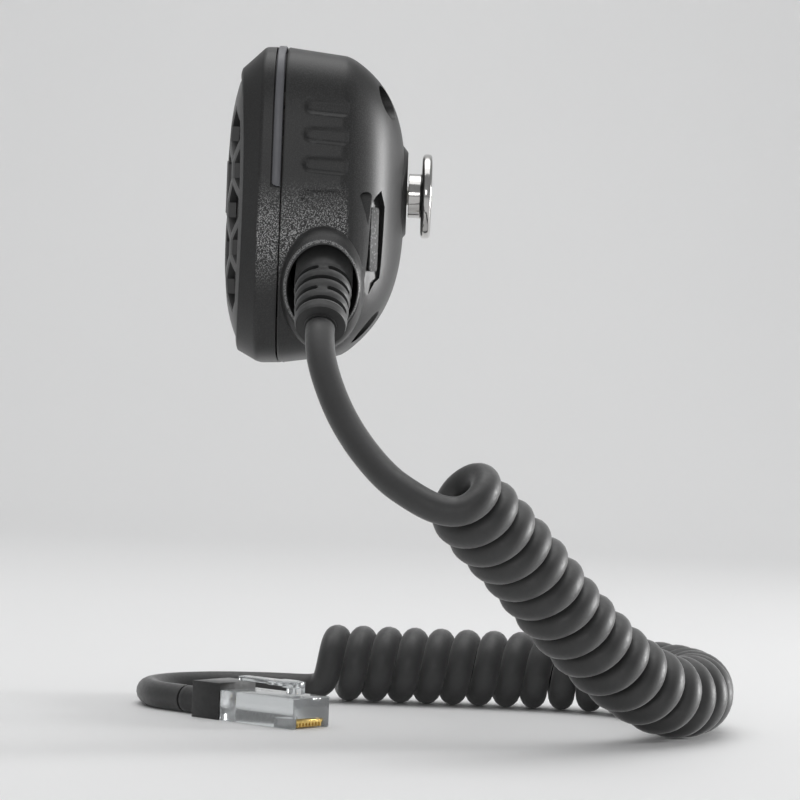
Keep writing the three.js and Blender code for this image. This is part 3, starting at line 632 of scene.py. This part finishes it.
# ---- the microphone's outer surface ----
def outline(angles, shape, inset=0.0, scale=1.0):
    """x and z of a rounded-square outline at these angles, moved in by an inset."""
    half = shape["half"] - inset
    tall = (shape["top"] - shape["bottom"]) / 2 - inset
    middle = (shape["top"] + shape["bottom"]) / 2
    across, up = np.cos(angles), np.sin(angles)
    reach = ((np.abs(across) / half) ** SQUARENESS + (np.abs(up) / tall) ** SQUARENESS) ** (-1 / SQUARENESS)
    z = reach * up * scale
    return reach * across * scale * (1 + TAPER * z / tall), middle + z


def ring(angles, shape, y, inset=0.0, scale=1.0, lift=0.0):
    x, z = outline(angles, shape, inset, scale)
    return np.stack([x, np.broadcast_to(y, x.shape), z + lift], axis=1)


def even_angles(count):
    return 2 * math.pi * np.arange(count) / count


def side_angles():
    """Angles round the case, closest together over the grip side (+X)."""
    fine = np.radians(np.arange(-50, 42, 0.4))
    coarse = np.radians(np.arange(42, 310, 1.4))
    return np.concatenate([fine, coarse])


def dome_drop(angles, scale):
    upright = np.sin(angles) ** 2
    over_top = 0.009 * scale ** 3 + 0.0036 * scale ** 5
    over_side = 0.0066 * scale ** 2.2 + 0.006 * scale ** 9
    return upright * over_top + (1 - upright) * over_side


def back_ring(angles, reach, inset=0.0, front=SEAM_Y):
    """A ring of the back: reach 0 is the seam, 1 the crease behind the side walls and 2 the crown."""
    if reach > 1:
        scale = 2 - reach
        y = CREST_Y - inset - dome_drop(angles, scale)
        return ring(angles, CREASE_OUTLINE, y, inset, scale, DOME_CENTRE_LIFT * (1 - scale ** 4))
    low = ring(angles, SEAM_OUTLINE, front, inset)
    high = ring(angles, CREASE_OUTLINE, CREASE_Y - inset, inset)
    return low + (high - low) * reach


def rounded(shape_at, corner, before, after):
    """The same stack of rings with the corner at this reach rounded off."""
    def softened(reach):
        u = (reach - corner + before) / (before + after)
        if not 0 < u < 1:
            return shape_at(reach)
        sides = shape_at(corner - before), shape_at(corner), shape_at(corner + after)
        return (1 - u) ** 2 * sides[0] + 2 * u * (1 - u) * sides[1] + u ** 2 * sides[2]
    return softened


GROOVES = [0.0160, 0.0101, 0.0039, -0.0029]    # heights of the finger grooves in the grip side
GROOVE_HALF = 0.00175
GROOVE_DEPTH = 0.0006
GROOVE_START_Y = -0.0274
GROOVE_END_Y = -0.0158
GROOVE_FADE = 0.0030
GROOVE_FLANK = 0.55


def groove_depth(y, z):
    """How deep the finger grooves are at each place of the grip side."""
    depth = np.zeros_like(y)
    for height in GROOVES:
        widening = np.clip((y - GROOVE_START_Y) / 0.010, 0, 1)
        half = GROOVE_HALF + 0.0004 * widening
        middle = height - 0.0004 * widening
        beyond = np.maximum(0, GROOVE_START_Y + half - y)
        out = np.sqrt((z - middle) ** 2 + beyond ** 2) / half
        flank = np.clip((1 - out) / GROOVE_FLANK, 0, 1)
        depth = np.maximum(depth, GROOVE_DEPTH * flank * flank * (3 - 2 * flank))
    return depth * np.clip((GROOVE_END_Y - y) / GROOVE_FADE, 0, 1)


def back_surface():
    """The rear shell's outer surface from seam to crown, with its rounded edges and finger grooves."""
    angles = side_angles()
    shape_at = rounded(lambda reach: back_ring(angles, reach), 1.0, 0.08, 0.035)
    rim = [
        ring(angles, SEAM_OUTLINE, SEAM_Y, 0.00040),
        ring(angles, SEAM_OUTLINE, SEAM_Y + 0.00008, 0.00012),
        ring(angles, SEAM_OUTLINE, SEAM_Y + 0.00040),
    ]
    wall_reaches, dome_reaches = np.linspace(0.04, 0.9, 34), np.linspace(1.05, 1.98, 56)
    reaches = np.concatenate([wall_reaches, np.linspace(0.92, 1.035, 16), dome_reaches])
    rings = np.array(rim + [shape_at(reach) for reach in reaches])
    seam, crease = back_ring(angles, 0.0), back_ring(angles, 1.0)
    share = (rings[:, :, 1] - SEAM_Y) / (CREASE_Y - SEAM_Y)
    wall = seam[None, :, 0] + (crease[:, 0] - seam[:, 0])[None] * share
    pushed = np.minimum(rings[:, :, 0], wall - groove_depth(rings[:, :, 1], rings[:, :, 2]))
    grip = (rings[:, :, 0] > 0.018) & (rings[:, :, 2] < 0.0205) & (rings[:, :, 2] > -0.0075)
    rings[:, :, 0] = np.where(grip, pushed, rings[:, :, 0])
    return rings


def ellipse(place, half_y, half_z, tilt=0.0, sides=96):
    """A ring across X; tilt leans its top outwards."""
    u, v = circle(1.0, sides)
    return np.array(place) + np.stack([tilt * half_z * v, half_y * u, half_z * v], axis=1)


BUTTON_BOSS = [(0.0106, -0.0080), (0.01035, -0.0065), (0.0091, -0.00545), (0.0088, -0.0053)]
CASE_SCREWS = [
    ("top_right", 0.018, 0.0183, -0.0150), ("top_left", -0.018, 0.0183, -0.0150),
    ("bottom_right", 0.015, -0.0292, -0.0193), ("bottom_left", -0.015, -0.0292, -0.0193),
]
POST_END = -0.024
BOOT_ROOT = np.array([0.0303, -0.0219, -0.0219])
BOOT_DIRECTION = unit(np.array([0.755, 0, -0.656]))
PTT = {
    "front": -0.0286, "back": -0.0204, "low": -0.0199, "high": 0.0179, "pivot": (-0.025, 0.0155),
}
LABEL = {"place": (0.0236, -0.0112, -0.0110), "turn": 0.64}
LABEL_DEPTH = 0.0014


def collar():
    """The raised shroud round the cord's boot."""
    rim = COLLAR_RIM
    base_y, base_z = COLLAR_BASE
    steps = [
        (0.0200, base_y, base_z, 0.0, 0.0), (0.0262, base_y, base_z, 0.0, 0.0),
        (0.0280, base_y - 0.00005, base_z - 0.0002, 0.0, 0.0001), (0.0292, 0.0086, 0.0121, 0.02, 0.0003),
        (0.0302, 0.0084, 0.0113, 0.05, 0.0003), (0.0309, 0.0082, 0.0104, 0.08, 0.0001),
    ]
    for beyond, less in ((-0.0002, 0.0), (0.00002, 0.0002), (0.0001, 0.0004)):
        steps.append((rim["x"] + beyond, rim["half_y"] - less, rim["half_z"] - less, rim["tilt"], 0.0))
    return loft("collar", [
        ellipse((px, COLLAR_Y, COLLAR_Z + up), half_y, half_z, tilt) for px, half_y, half_z, tilt, up in steps
    ])


def collar_opening():
    """The mouth that the boot comes out of; it runs in along the boot."""
    slope = BOOT_DIRECTION[2] / BOOT_DIRECTION[0]
    mouth = (0.0330, 0.0316, 0.0312, 0.0290, 0.0230, 0.0180)
    grow = (0.0006, 0.0003, 0.0, -0.0001, -0.0003, -0.0003)
    rings = []
    for x, more in zip(mouth, grow):
        middle = (x, COLLAR_Y + 0.0002, COLLAR_Z - 0.0002 + slope * (x - 0.0312))
        rings.append(ellipse(middle, 0.00725 + more, 0.0090 + more, 0.10))
    return loft("collar_opening", rings)


def placed(rings, place, turn):
    """The rings turned about Z and put in place."""
    cosine, sine = math.cos(turn), math.sin(turn)
    spin = np.array([[cosine, -sine, 0], [sine, cosine, 0], [0, 0, 1]])
    return np.array(rings) @ spin.T + np.array(place)


def prism(name, corners, low, high, place=(0, 0, 0), turn=0.0):
    """A straight-sided solid: (x, z) corners from y low to y high, turned about Z and put in place."""
    rings = [[(x, y, z) for x, z in corners] for y in (low, high)]
    return loft(name, placed(rings, place, turn))


def rounded_box_corners(half_x, half_z, radius, steps=8):
    corners = []
    for quarter, (sx, sz) in enumerate([(1, 1), (-1, 1), (-1, -1), (1, -1)]):
        for k in range(steps + 1):
            angle = (quarter + k / steps) * math.pi / 2
            x = sx * (half_x - radius) + radius * math.cos(angle)
            corners.append((x, sz * (half_z - radius) + radius * math.sin(angle)))
    return corners


def teardrop(side):
    """A blind pocket in the shoulder of the back, round above and pointed below."""
    angles = np.linspace(-0.25, math.pi + 0.25, 20)
    corners = [(0.0009 * math.cos(a), 0.0024 + 0.0009 * math.sin(a)) for a in angles]
    corners.append((-0.0006 * side, -0.0036))
    return prism("teardrop", corners, 0.0, 0.010, (side * 0.026, -0.0168, -0.0046))


def in_teardrop(x, y, z):
    """Whether a place is in one of the two pockets, where the shoulder falls at about 45 degrees."""
    inside = (np.abs(np.abs(x) - 0.0258) < 0.0013) & (z > -0.0088) & (z < -0.0008)
    return inside & (y < -0.0146 - 1.5 * (np.abs(x) - 0.026))


def label_recess():
    """A shallow pocket with a pointed top and a slanted foot, square to the sloping back."""
    corners = [
        (0.0020, 0.0075), (0.0008, 0.0090), (-0.0008, 0.0103), (-0.0024, 0.0070), (-0.0024, -0.0080),
        (-0.0008, -0.0090), (0.0012, -0.0128), (0.0024, -0.0110),
    ]
    return prism("label_recess", corners, -LABEL_DEPTH, 0.0050, LABEL["place"], -LABEL["turn"])


def ptt_opening():
    middle_y, middle_z = (PTT["front"] + PTT["back"]) / 2, (PTT["low"] + PTT["high"]) / 2
    half_y = (PTT["back"] - PTT["front"]) / 2 + 0.0004
    half_z = (PTT["high"] - PTT["low"]) / 2 + 0.0006
    corners = np.array(rounded_box_corners(half_y, half_z, 0.0022))
    y, z = middle_y + corners[:, 0], middle_z - 0.0002 + corners[:, 1]
    rings = [np.stack([np.full(len(corners), x), y, z], axis=1) for x in (-0.036, -0.024)]
    return loft("ptt_opening", rings)


def rod(name, start, end, radius, sides=48):
    start, end = np.array(start, float), np.array(end, float)
    return turned(name, [(radius, 0), (radius, np.linalg.norm(end - start))], start, end - start, sides)


def inner_back(inset, front):
    """The rear shell's room, or its outer body a little inside the surface."""
    angles = even_angles(160)
    reaches = np.concatenate([[0], np.linspace(1, 1.97, 24)])
    return loft("inner_back", [back_ring(angles, reach, inset, front) for reach in reaches])


def make_rear_shell():
    shell = loft("rear_shell_moulding", back_surface())
    combine(shell, [turned("boss", BUTTON_BOSS, (0, 0, 0.0005), sides=96)], "UNION")
    combine(shell, [collar()], "UNION")
    combine(shell, [inner_back(WALL, SEAM_Y - 0.001)])
    for _, x, z, _ in CASE_SCREWS:
        post = rod("post", (x, POST_END, z), (x, -0.0115, z), 0.0046)
        combine(post, [inner_back(0.0005, SEAM_Y)], "INTERSECT")
        combine(shell, [post], "UNION")
    pin_x, pin_z = PTT["pivot"]
    tools = [
        collar_opening(),
        rod("tunnel", BOOT_ROOT - 0.014 * BOOT_DIRECTION, BOOT_ROOT + 0.002 * BOOT_DIRECTION, 0.0066),
        rod("button_hole", (0, -0.009, 0), (0, 0, 0), 0.0023),
        rod("pin_hole", (pin_x, -0.032, pin_z), (pin_x, -0.017, pin_z), 0.0012),
        ptt_opening(), label_recess(), teardrop(1), teardrop(-1),
    ]
    for _, x, z, seat in CASE_SCREWS:
        tools.append(rod("counterbore", (x, seat, z), (x, 0, z), 0.0035))
        tools.append(rod("screw_hole", (x, POST_END - 0.001, z), (x, seat + 0.001, z), 0.0018, 24))
    combine(shell, tools)
    # the teardrop pockets are marked for a painted shade in the shell's colour
    mark_hollows(shell, in_teardrop)
    return dress(shell, "shell", "rear_shell", sharp=24)


# ---- front shell, trim and grille ----
def rim_y(angles):
    up = np.sin(angles)
    return -0.0398 - 0.0021 * np.maximum(0, up) ** 3 - 0.0008 * np.maximum(0, -up) ** 3


LIP = 0.0016            # width of the front shell's lip round the grille
BAFFLE_FRONT, BAFFLE_BACK = -0.0374, -0.0354


def front_ring(angles, reach):
    """A ring of the front shell: reach 0 is its lip, 1 the crease behind the chamfer and 2 the seam."""
    if reach > 1:
        low, high = ring(angles, BEVEL_OUTLINE, BEVEL_Y), ring(angles, SEAM_OUTLINE, SEAM_Y - SEAM_GAP)
        return low + (high - low) * (reach - 1)
    low, high = ring(angles, RIM_OUTLINE, rim_y(angles)), ring(angles, BEVEL_OUTLINE, BEVEL_Y)
    return low + (high - low) * reach


def make_front_shell():
    angles = even_angles(288)
    shape_at = rounded(lambda reach: front_ring(angles, reach), 1.0, 0.10, 0.14)
    back = SEAM_Y - SEAM_GAP
    reaches = [*np.linspace(0.05, 0.88, 20), *np.linspace(0.9, 1.16, 12), *np.linspace(1.2, 1.9, 14)]
    rings = [
        ring(angles, RIM_OUTLINE, rim_y(angles) + 0.0004, LIP + 0.0001),
        ring(angles, RIM_OUTLINE, rim_y(angles) + 0.00008, LIP),
        ring(angles, RIM_OUTLINE, rim_y(angles) - 0.0001, LIP - 0.00015),
        ring(angles, RIM_OUTLINE, rim_y(angles) - 0.0001, LIP - 0.0006),
        ring(angles, RIM_OUTLINE, rim_y(angles), 0.00045),
        *[shape_at(reach) for reach in reaches],
        ring(angles, SEAM_OUTLINE, back - 0.00012, 0.00005),
        ring(angles, SEAM_OUTLINE, back, 0.00025),
    ]
    shell = loft("front_shell_moulding", rings)
    room = [ring(angles, SEAM_OUTLINE, BAFFLE_BACK, WALL), ring(angles, SEAM_OUTLINE, SEAM_Y + 0.001, WALL)]
    mouth = [ring(angles, RIM_OUTLINE, -0.046, LIP), ring(angles, RIM_OUTLINE, BAFFLE_FRONT, LIP)]
    cartridge = rod("cartridge_hole", (0, -0.050, -0.002), (0, -0.030, -0.002), 0.0173, 96)
    combine(shell, [loft("front_room", room), loft("front_mouth", mouth), trim_rebate(), cartridge])
    return dress(shell, "shell", "front_shell", sharp=24)


def trim_angles(beyond, count):
    """Angles over the top of the case, from where the trim ends on one side to the other."""
    middle = (SEAM_OUTLINE["top"] + SEAM_OUTLINE["bottom"]) / 2
    start = math.atan2(TRIM_LOW_Z - middle - beyond, SEAM_OUTLINE["half"])
    return np.linspace(start, math.pi - start, count)


def sweep_section(name, angles, section):
    """A bar bent along the outline: section points are (inset, y) at every angle."""
    columns = [ring(angles, SEAM_OUTLINE, y, inset) for inset, y in section]
    return loft(name, np.stack(columns, axis=1))


def trim_rebate():
    front = TRIM_FRONT_Y - GAP
    section = [(-0.003, front), (0.0012, front), (0.0012, SEAM_Y + 0.001), (-0.003, SEAM_Y + 0.001)]
    return sweep_section("trim_rebate", trim_angles(GAP, 260), section)


def make_trim():
    angles = trim_angles(0.0, 300)
    z = ring(angles, SEAM_OUTLINE, 0.0)[:, 2]
    corner = 0.0009
    inside = np.clip(corner - (z - TRIM_LOW_Z), 0, corner)
    front = TRIM_FRONT_Y + corner - np.sqrt(corner ** 2 - inside ** 2)
    back = SEAM_Y - GAP
    proud, sunk, edge = -0.00022, 0.0009, 0.00018
    section = [
        (sunk, front), (edge, front), (edge * 0.3, front + 0.00002), (proud + edge, front + edge * 0.35),
        (proud, front + edge * 1.3), (proud, back - edge * 1.3), (proud + edge, back - edge * 0.35),
        (edge * 0.3, back - 0.00002), (edge, back), (sunk, back),
    ]
    trim = sweep_section("trim_strip", angles, section)
    return dress(trim, "trim", "trim_band", sharp=50)


def grille_depth(x, z, inset=0.0):
    """The grille's crowned surface: y at each x and z. It meets the lip all round."""
    half = RIM_OUTLINE["half"] - LIP - GAP
    tall = (RIM_OUTLINE["top"] - RIM_OUTLINE["bottom"]) / 2 - LIP - GAP
    up = z - (RIM_OUTLINE["top"] + RIM_OUTLINE["bottom"]) / 2
    across = x / (1 + TAPER * up / tall)
    scale = ((np.abs(across) / half) ** SQUARENESS + (np.abs(up) / tall) ** SQUARENESS) ** (1 / SQUARENESS)
    rim = rim_y(np.arctan2(up, across))
    return FRONT_CREST_Y + inset + (rim - FRONT_CREST_Y) * np.minimum(scale, 1.0) ** 4


CELL = {"half_width": 0.0045, "half_height": 0.0063, "half_side": 0.0018, "middle_row_z": -0.0054}
GRILLE_RIB = 0.0011
GRILLE_THICKNESS = 0.0018
GRILLE_EDGE = LIP + GAP     # how far the grille's edge lies inside the rim outline
FLANK_DEPTH = 0.00022       # a place this far behind the crown is on a rib's flank
BADGE = {"half_x": 0.0125, "half_z": 0.0056, "z": -0.0003, "corner": 0.0014}


def on_crown(corners, offset):
    """The (x, z) corners on the grille's crowned surface, moved back by the offset."""
    return np.stack([corners[:, 0], grille_depth(*corners.T) + offset, corners[:, 1]], axis=1)


def hexagon(x, z, shrink):
    w = CELL["half_width"] - shrink
    h = CELL["half_height"] - shrink * 1.25
    s = CELL["half_side"] - shrink * 0.35
    return np.array([[0, -h], [w, -s], [w, s], [0, h], [-w, s], [-w, -s]]) + (x, z)


def split_edges(corners, parts):
    """The outline with points added along its edges."""
    following = np.roll(corners, -1, axis=0)
    steps = np.arange(parts)[None, :, None] / parts
    return (corners[:, None] + (following - corners)[:, None] * steps).reshape(-1, 2)


def cell_cutter(x, z):
    """A flared hexagonal hole that follows the crowned surface and stays inside the solid margin."""
    flare = [(-0.0012, -0.0008), (0.0, -0.0001), (0.0003, 0.0001), (0.0060, 0.0001)]
    rings = []
    for offset, narrower in flare:
        shrink = GRILLE_RIB / 2 + narrower
        rings.append(on_crown(split_edges(hexagon(x, z, shrink), 4), offset))
    return loft("cell", rings)


def crown_ring(angles, scale, edge, inset, round_off=0.0):
    """A ring of the crowned surface, with its edge this far in from the rim."""
    points = ring(angles, RIM_OUTLINE, 0.0, edge, scale)
    points[:, 1] = grille_depth(points[:, 0], points[:, 2], inset) + round_off
    return points


def grille_skin():
    """The crowned cover as a full solid, and the hollow behind it."""
    angles = even_angles(192)
    scales = [1.0, 0.992, 0.97, 0.94, 0.9, 0.85, 0.8, 0.74, 0.68, 0.6, 0.5, 0.4, 0.3, 0.2, 0.1]
    rounding = {1.0: 0.0004, 0.992: 0.0001}
    cover = loft("grille_cover", [
        ring(angles, RIM_OUTLINE, BAFFLE_FRONT - GAP, GRILLE_EDGE),
        *[crown_ring(angles, s, GRILLE_EDGE, 0.0, rounding.get(s, 0.0)) for s in scales],
    ])
    hollow = loft("grille_hollow", [
        ring(angles, RIM_OUTLINE, BAFFLE_FRONT + 0.001, GRILLE_EDGE, 0.92),
        *[crown_ring(angles, s, GRILLE_EDGE, GRILLE_THICKNESS) for s in (0.92, 0.85, 0.74, 0.6, 0.4, 0.2)],
    ])
    return cover, hollow


def badge_corners(grow=1.0):
    corners = np.array(rounded_box_corners(BADGE["half_x"], BADGE["half_z"], BADGE["corner"]))
    return corners * grow + (0, BADGE["z"])


def honeycomb():
    """All the cells to cut, kept clear of the grille's margin and of its badge."""
    angles = even_angles(128)
    keeper = loft("keeper", [ring(angles, RIM_OUTLINE, y, GRILLE_EDGE + 0.0010) for y in (-0.050, -0.030)])
    row_step = CELL["half_height"] + CELL["half_side"]
    cells = None
    for row in range(-2, 3):
        for column in range(-3, 4):
            x = (column + (0.5 if row % 2 else 0)) * 2 * CELL["half_width"]
            cutter = cell_cutter(x, row * row_step + CELL["middle_row_z"])
            cells = combine(cells, [cutter], "UNION") if cells else cutter
    pad = prism("badge_pad", (badge_corners() * 1.06).tolist(), -0.060, -0.030)
    combine(cells, [keeper], "INTERSECT")
    return combine(cells, [pad])


def rib_flanks(x, y, z):
    return y - grille_depth(x, z) > FLANK_DEPTH


def make_grille():
    cover, hollow = grille_skin()
    combine(cover, [hollow, honeycomb()])
    steps = ((0.0012, 1.0), (-0.00008, 1.0), (-0.00018, 0.985), (-0.00022, 0.95))
    badge = loft("badge", [on_crown(badge_corners(grow), offset) for offset, grow in steps])
    combine(cover, [badge], "UNION")
    mark_hollows(cover, rib_flanks)
    return dress(cover, "grille", "mic_grille", sharp=24)


CLOTH_SHARE = 0.88      # of the grille's width and height


def make_cloth():
    """The acoustic cloth bonded behind the grille."""
    angles = even_angles(96)
    edge = LIP + 2 * GAP
    depth = GRILLE_THICKNESS + GAP
    scales = (0.1, 0.3, 0.5, 0.7, CLOTH_SHARE)
    front = [crown_ring(angles, scale, edge, depth) for scale in scales]
    back = [crown_ring(angles, scale, edge, depth + 0.0005) for scale in reversed(scales)]
    cloth = loft("acoustic_cloth", front + back)
    dress(cloth, "cloth", "grille_cloth", sharp=60)
    return cloth


# ---- strain relief, button, label and screws ----
BOOT_PROFILE = [
    (-0.0100, 0.0060), (-0.0030, 0.0060), (0.0010, 0.00585), (0.0100, 0.0053), (0.0106, 0.0054),
    (0.0116, 0.0053), (0.0123, 0.0051), (0.0126, 0.0047), (0.01265, 0.0040), (0.0123, 0.0033),
]
SLOT_ROWS = 4
SLOT_PITCH = 0.0031
SLOT_HALF_WIDTH = 0.0005
SLOT_DEPTH = 0.0013
SLOT_BRIDGE = 0.0010       # half the rubber left between two slots of a row


def make_boot():
    """The tapered boot: rows of slots at its sides alternate with rows at its front and back."""
    sides = 224
    across, up, along = axes_along(BOOT_DIRECTION)
    places = np.concatenate([
        np.linspace(-0.010, -0.0012, 6), np.linspace(-0.0010, 0.0104, 116), np.linspace(0.0106, 0.01265, 20),
    ])
    radii = np.interp(places, *zip(*BOOT_PROFILE))
    angles = even_angles(sides)
    rings = []
    for place, radius in zip(places, radii):
        depth = np.zeros(sides)
        for row in range(SLOT_ROWS):
            quarter = math.pi / 2 if row % 2 else 0.0
            around = np.abs((angles - quarter + math.pi / 2) % math.pi - math.pi / 2) * radius
            half_length = math.pi / 2 * radius - SLOT_BRIDGE
            past = np.maximum(0, around - half_length + SLOT_HALF_WIDTH)
            out = np.sqrt((place - row * SLOT_PITCH) ** 2 + past ** 2) / SLOT_HALF_WIDTH
            depth = np.maximum(depth, SLOT_DEPTH * np.clip((1 - out) / 0.3, 0, 1) ** 0.6)
        ripple = -math.cos(2 * math.pi * place / SLOT_PITCH)
        swell = 0.00014 * ripple if -0.0014 < place < 0.0106 else 0.0
        reach = radius + swell - depth
        centre = BOOT_ROOT + place * along
        out, over = (reach * np.cos(angles))[:, None], (reach * np.sin(angles))[:, None]
        rings.append(centre + out * across + over * up)
    boot = loft("cord_boot_moulding", rings)
    return dress(boot, "rubber", "cord_boot", sharp=40)


def make_button():
    profile = [
        (0.0044, -0.0050), (0.0048, -0.0049), (0.0048, -0.0026), (0.00485, -0.00242), (0.0050, -0.0023),
        (0.0053, -0.00223), (0.0066, -0.0022), (0.0080, -0.0022), (0.0086, -0.00212), (0.00895, -0.0019),
        (0.0091, -0.0016), (0.00914, -0.0011), (0.0091, -0.0006), (0.00895, -0.0003), (0.0086, -0.0001),
        (0.0080, 0.0), (0.0060, -0.00004), (0.0030, -0.00006),
    ]
    button = turned("hang_up_button", profile, sides=128)
    combine(button, [rod("button_bore", (0, -0.007, 0), (0, -0.0024, 0), 0.0023)])
    return dress(button, "chrome", "hang_button", sharp=35)


def cross_recess(x, z, y, reach):
    """A cross-shaped driver recess."""
    arms = []
    for half_x, half_z in ((reach, 0.00036), (0.00036, reach)):
        corners = [(half_x, half_z), (-half_x, half_z), (-half_x, -half_z), (half_x, -half_z)]
        arms.append(prism("recess_arm", corners, y - 0.0011, y + 0.001, (x, 0, z)))
    return arms


def make_case_screws():
    for side, x, z, seat in CASE_SCREWS:
        low = seat + GAP
        profile = [
            (0.0002, -0.0342), (0.0014, -0.0332), (0.0014, low - 0.0001), (0.00275, low),
            (0.0028, low + 0.0001), (0.0028, low + 0.0010), (0.0026, low + 0.0015),
            (0.0020, low + 0.0019), (0.0010, low + 0.0020),
        ]
        screw = turned("case_screw_" + side + "_head", profile, (x, 0, z), sides=48)
        combine(screw, cross_recess(x, z, low + 0.002, 0.0017))
        dress(screw, "steel", "case_screw_" + side, sharp=35)


def make_label():
    """The blank foil label in its pocket."""
    corners = np.array(rounded_box_corners(0.0013, 0.0067, 0.0005))
    back = GAP - LABEL_DEPTH
    steps = ((back, 1.0), (back + 0.00034, 1.0), (back + 0.0004, 0.98))
    rings = [[(x * grow, y, z * grow) for x, z in corners] for y, grow in steps]
    label = loft("blank_label", placed(rings, LABEL["place"], -LABEL["turn"]))
    return dress(label, "label", "label_plate", sharp=35)


# ---- CAD pieces whose edges only need rounding ----
def softened(node, name, width, segments=2):
    """A copy of a CAD node with its flat faces joined and its edges rounded."""
    data = frame["nodes"][node].data.copy()
    made = bpy.data.objects.new(name, data)
    bpy.context.scene.collection.objects.link(made)
    merge = made.modifiers.new("merge", "WELD")
    merge.merge_threshold = 0.00001
    flat = made.modifiers.new("flat", "DECIMATE")
    flat.decimate_type = "DISSOLVE"
    flat.angle_limit = math.radians(1)
    bevel = made.modifiers.new("bevel", "BEVEL")
    bevel.width = width
    bevel.segments = segments
    bevel.limit_method = "ANGLE"
    bevel.angle_limit = math.radians(35)
    return settle(made)


def make_softened():
    rounded_nodes = [
        ("ptt_bar", "push_to_talk_bar", 0.0005, "rubber", "ptt_key"),
        ("plug_boot", "plug_strain_relief", 0.0007, "rubber", "microphone"),
        ("plug_body", "modular_plug_body", 0.00025, "clear", "microphone"),
        ("plug_latch", "modular_plug_latch", 0.0002, "clear", "latch"),
        ("plug_contacts", "modular_plug_contacts", 0.00006, "gold", "microphone"),
    ]
    made = {}
    for node, name, width, slot, body in rounded_nodes:
        made[node] = dress(softened(node, name, width), slot, node, body=body, sharp=40)
    return made


# ---- everything in place ----
make_camera()
make_floor()
make_light()
paint_cad_nodes()
cord = make_cord()
cord.data.materials.append(LOOKS["cord"])
make_rear_shell()
make_front_shell()
make_trim()
make_grille()
make_cloth()
boot = make_boot()
make_button()
make_case_screws()
make_label()
plug = make_softened()
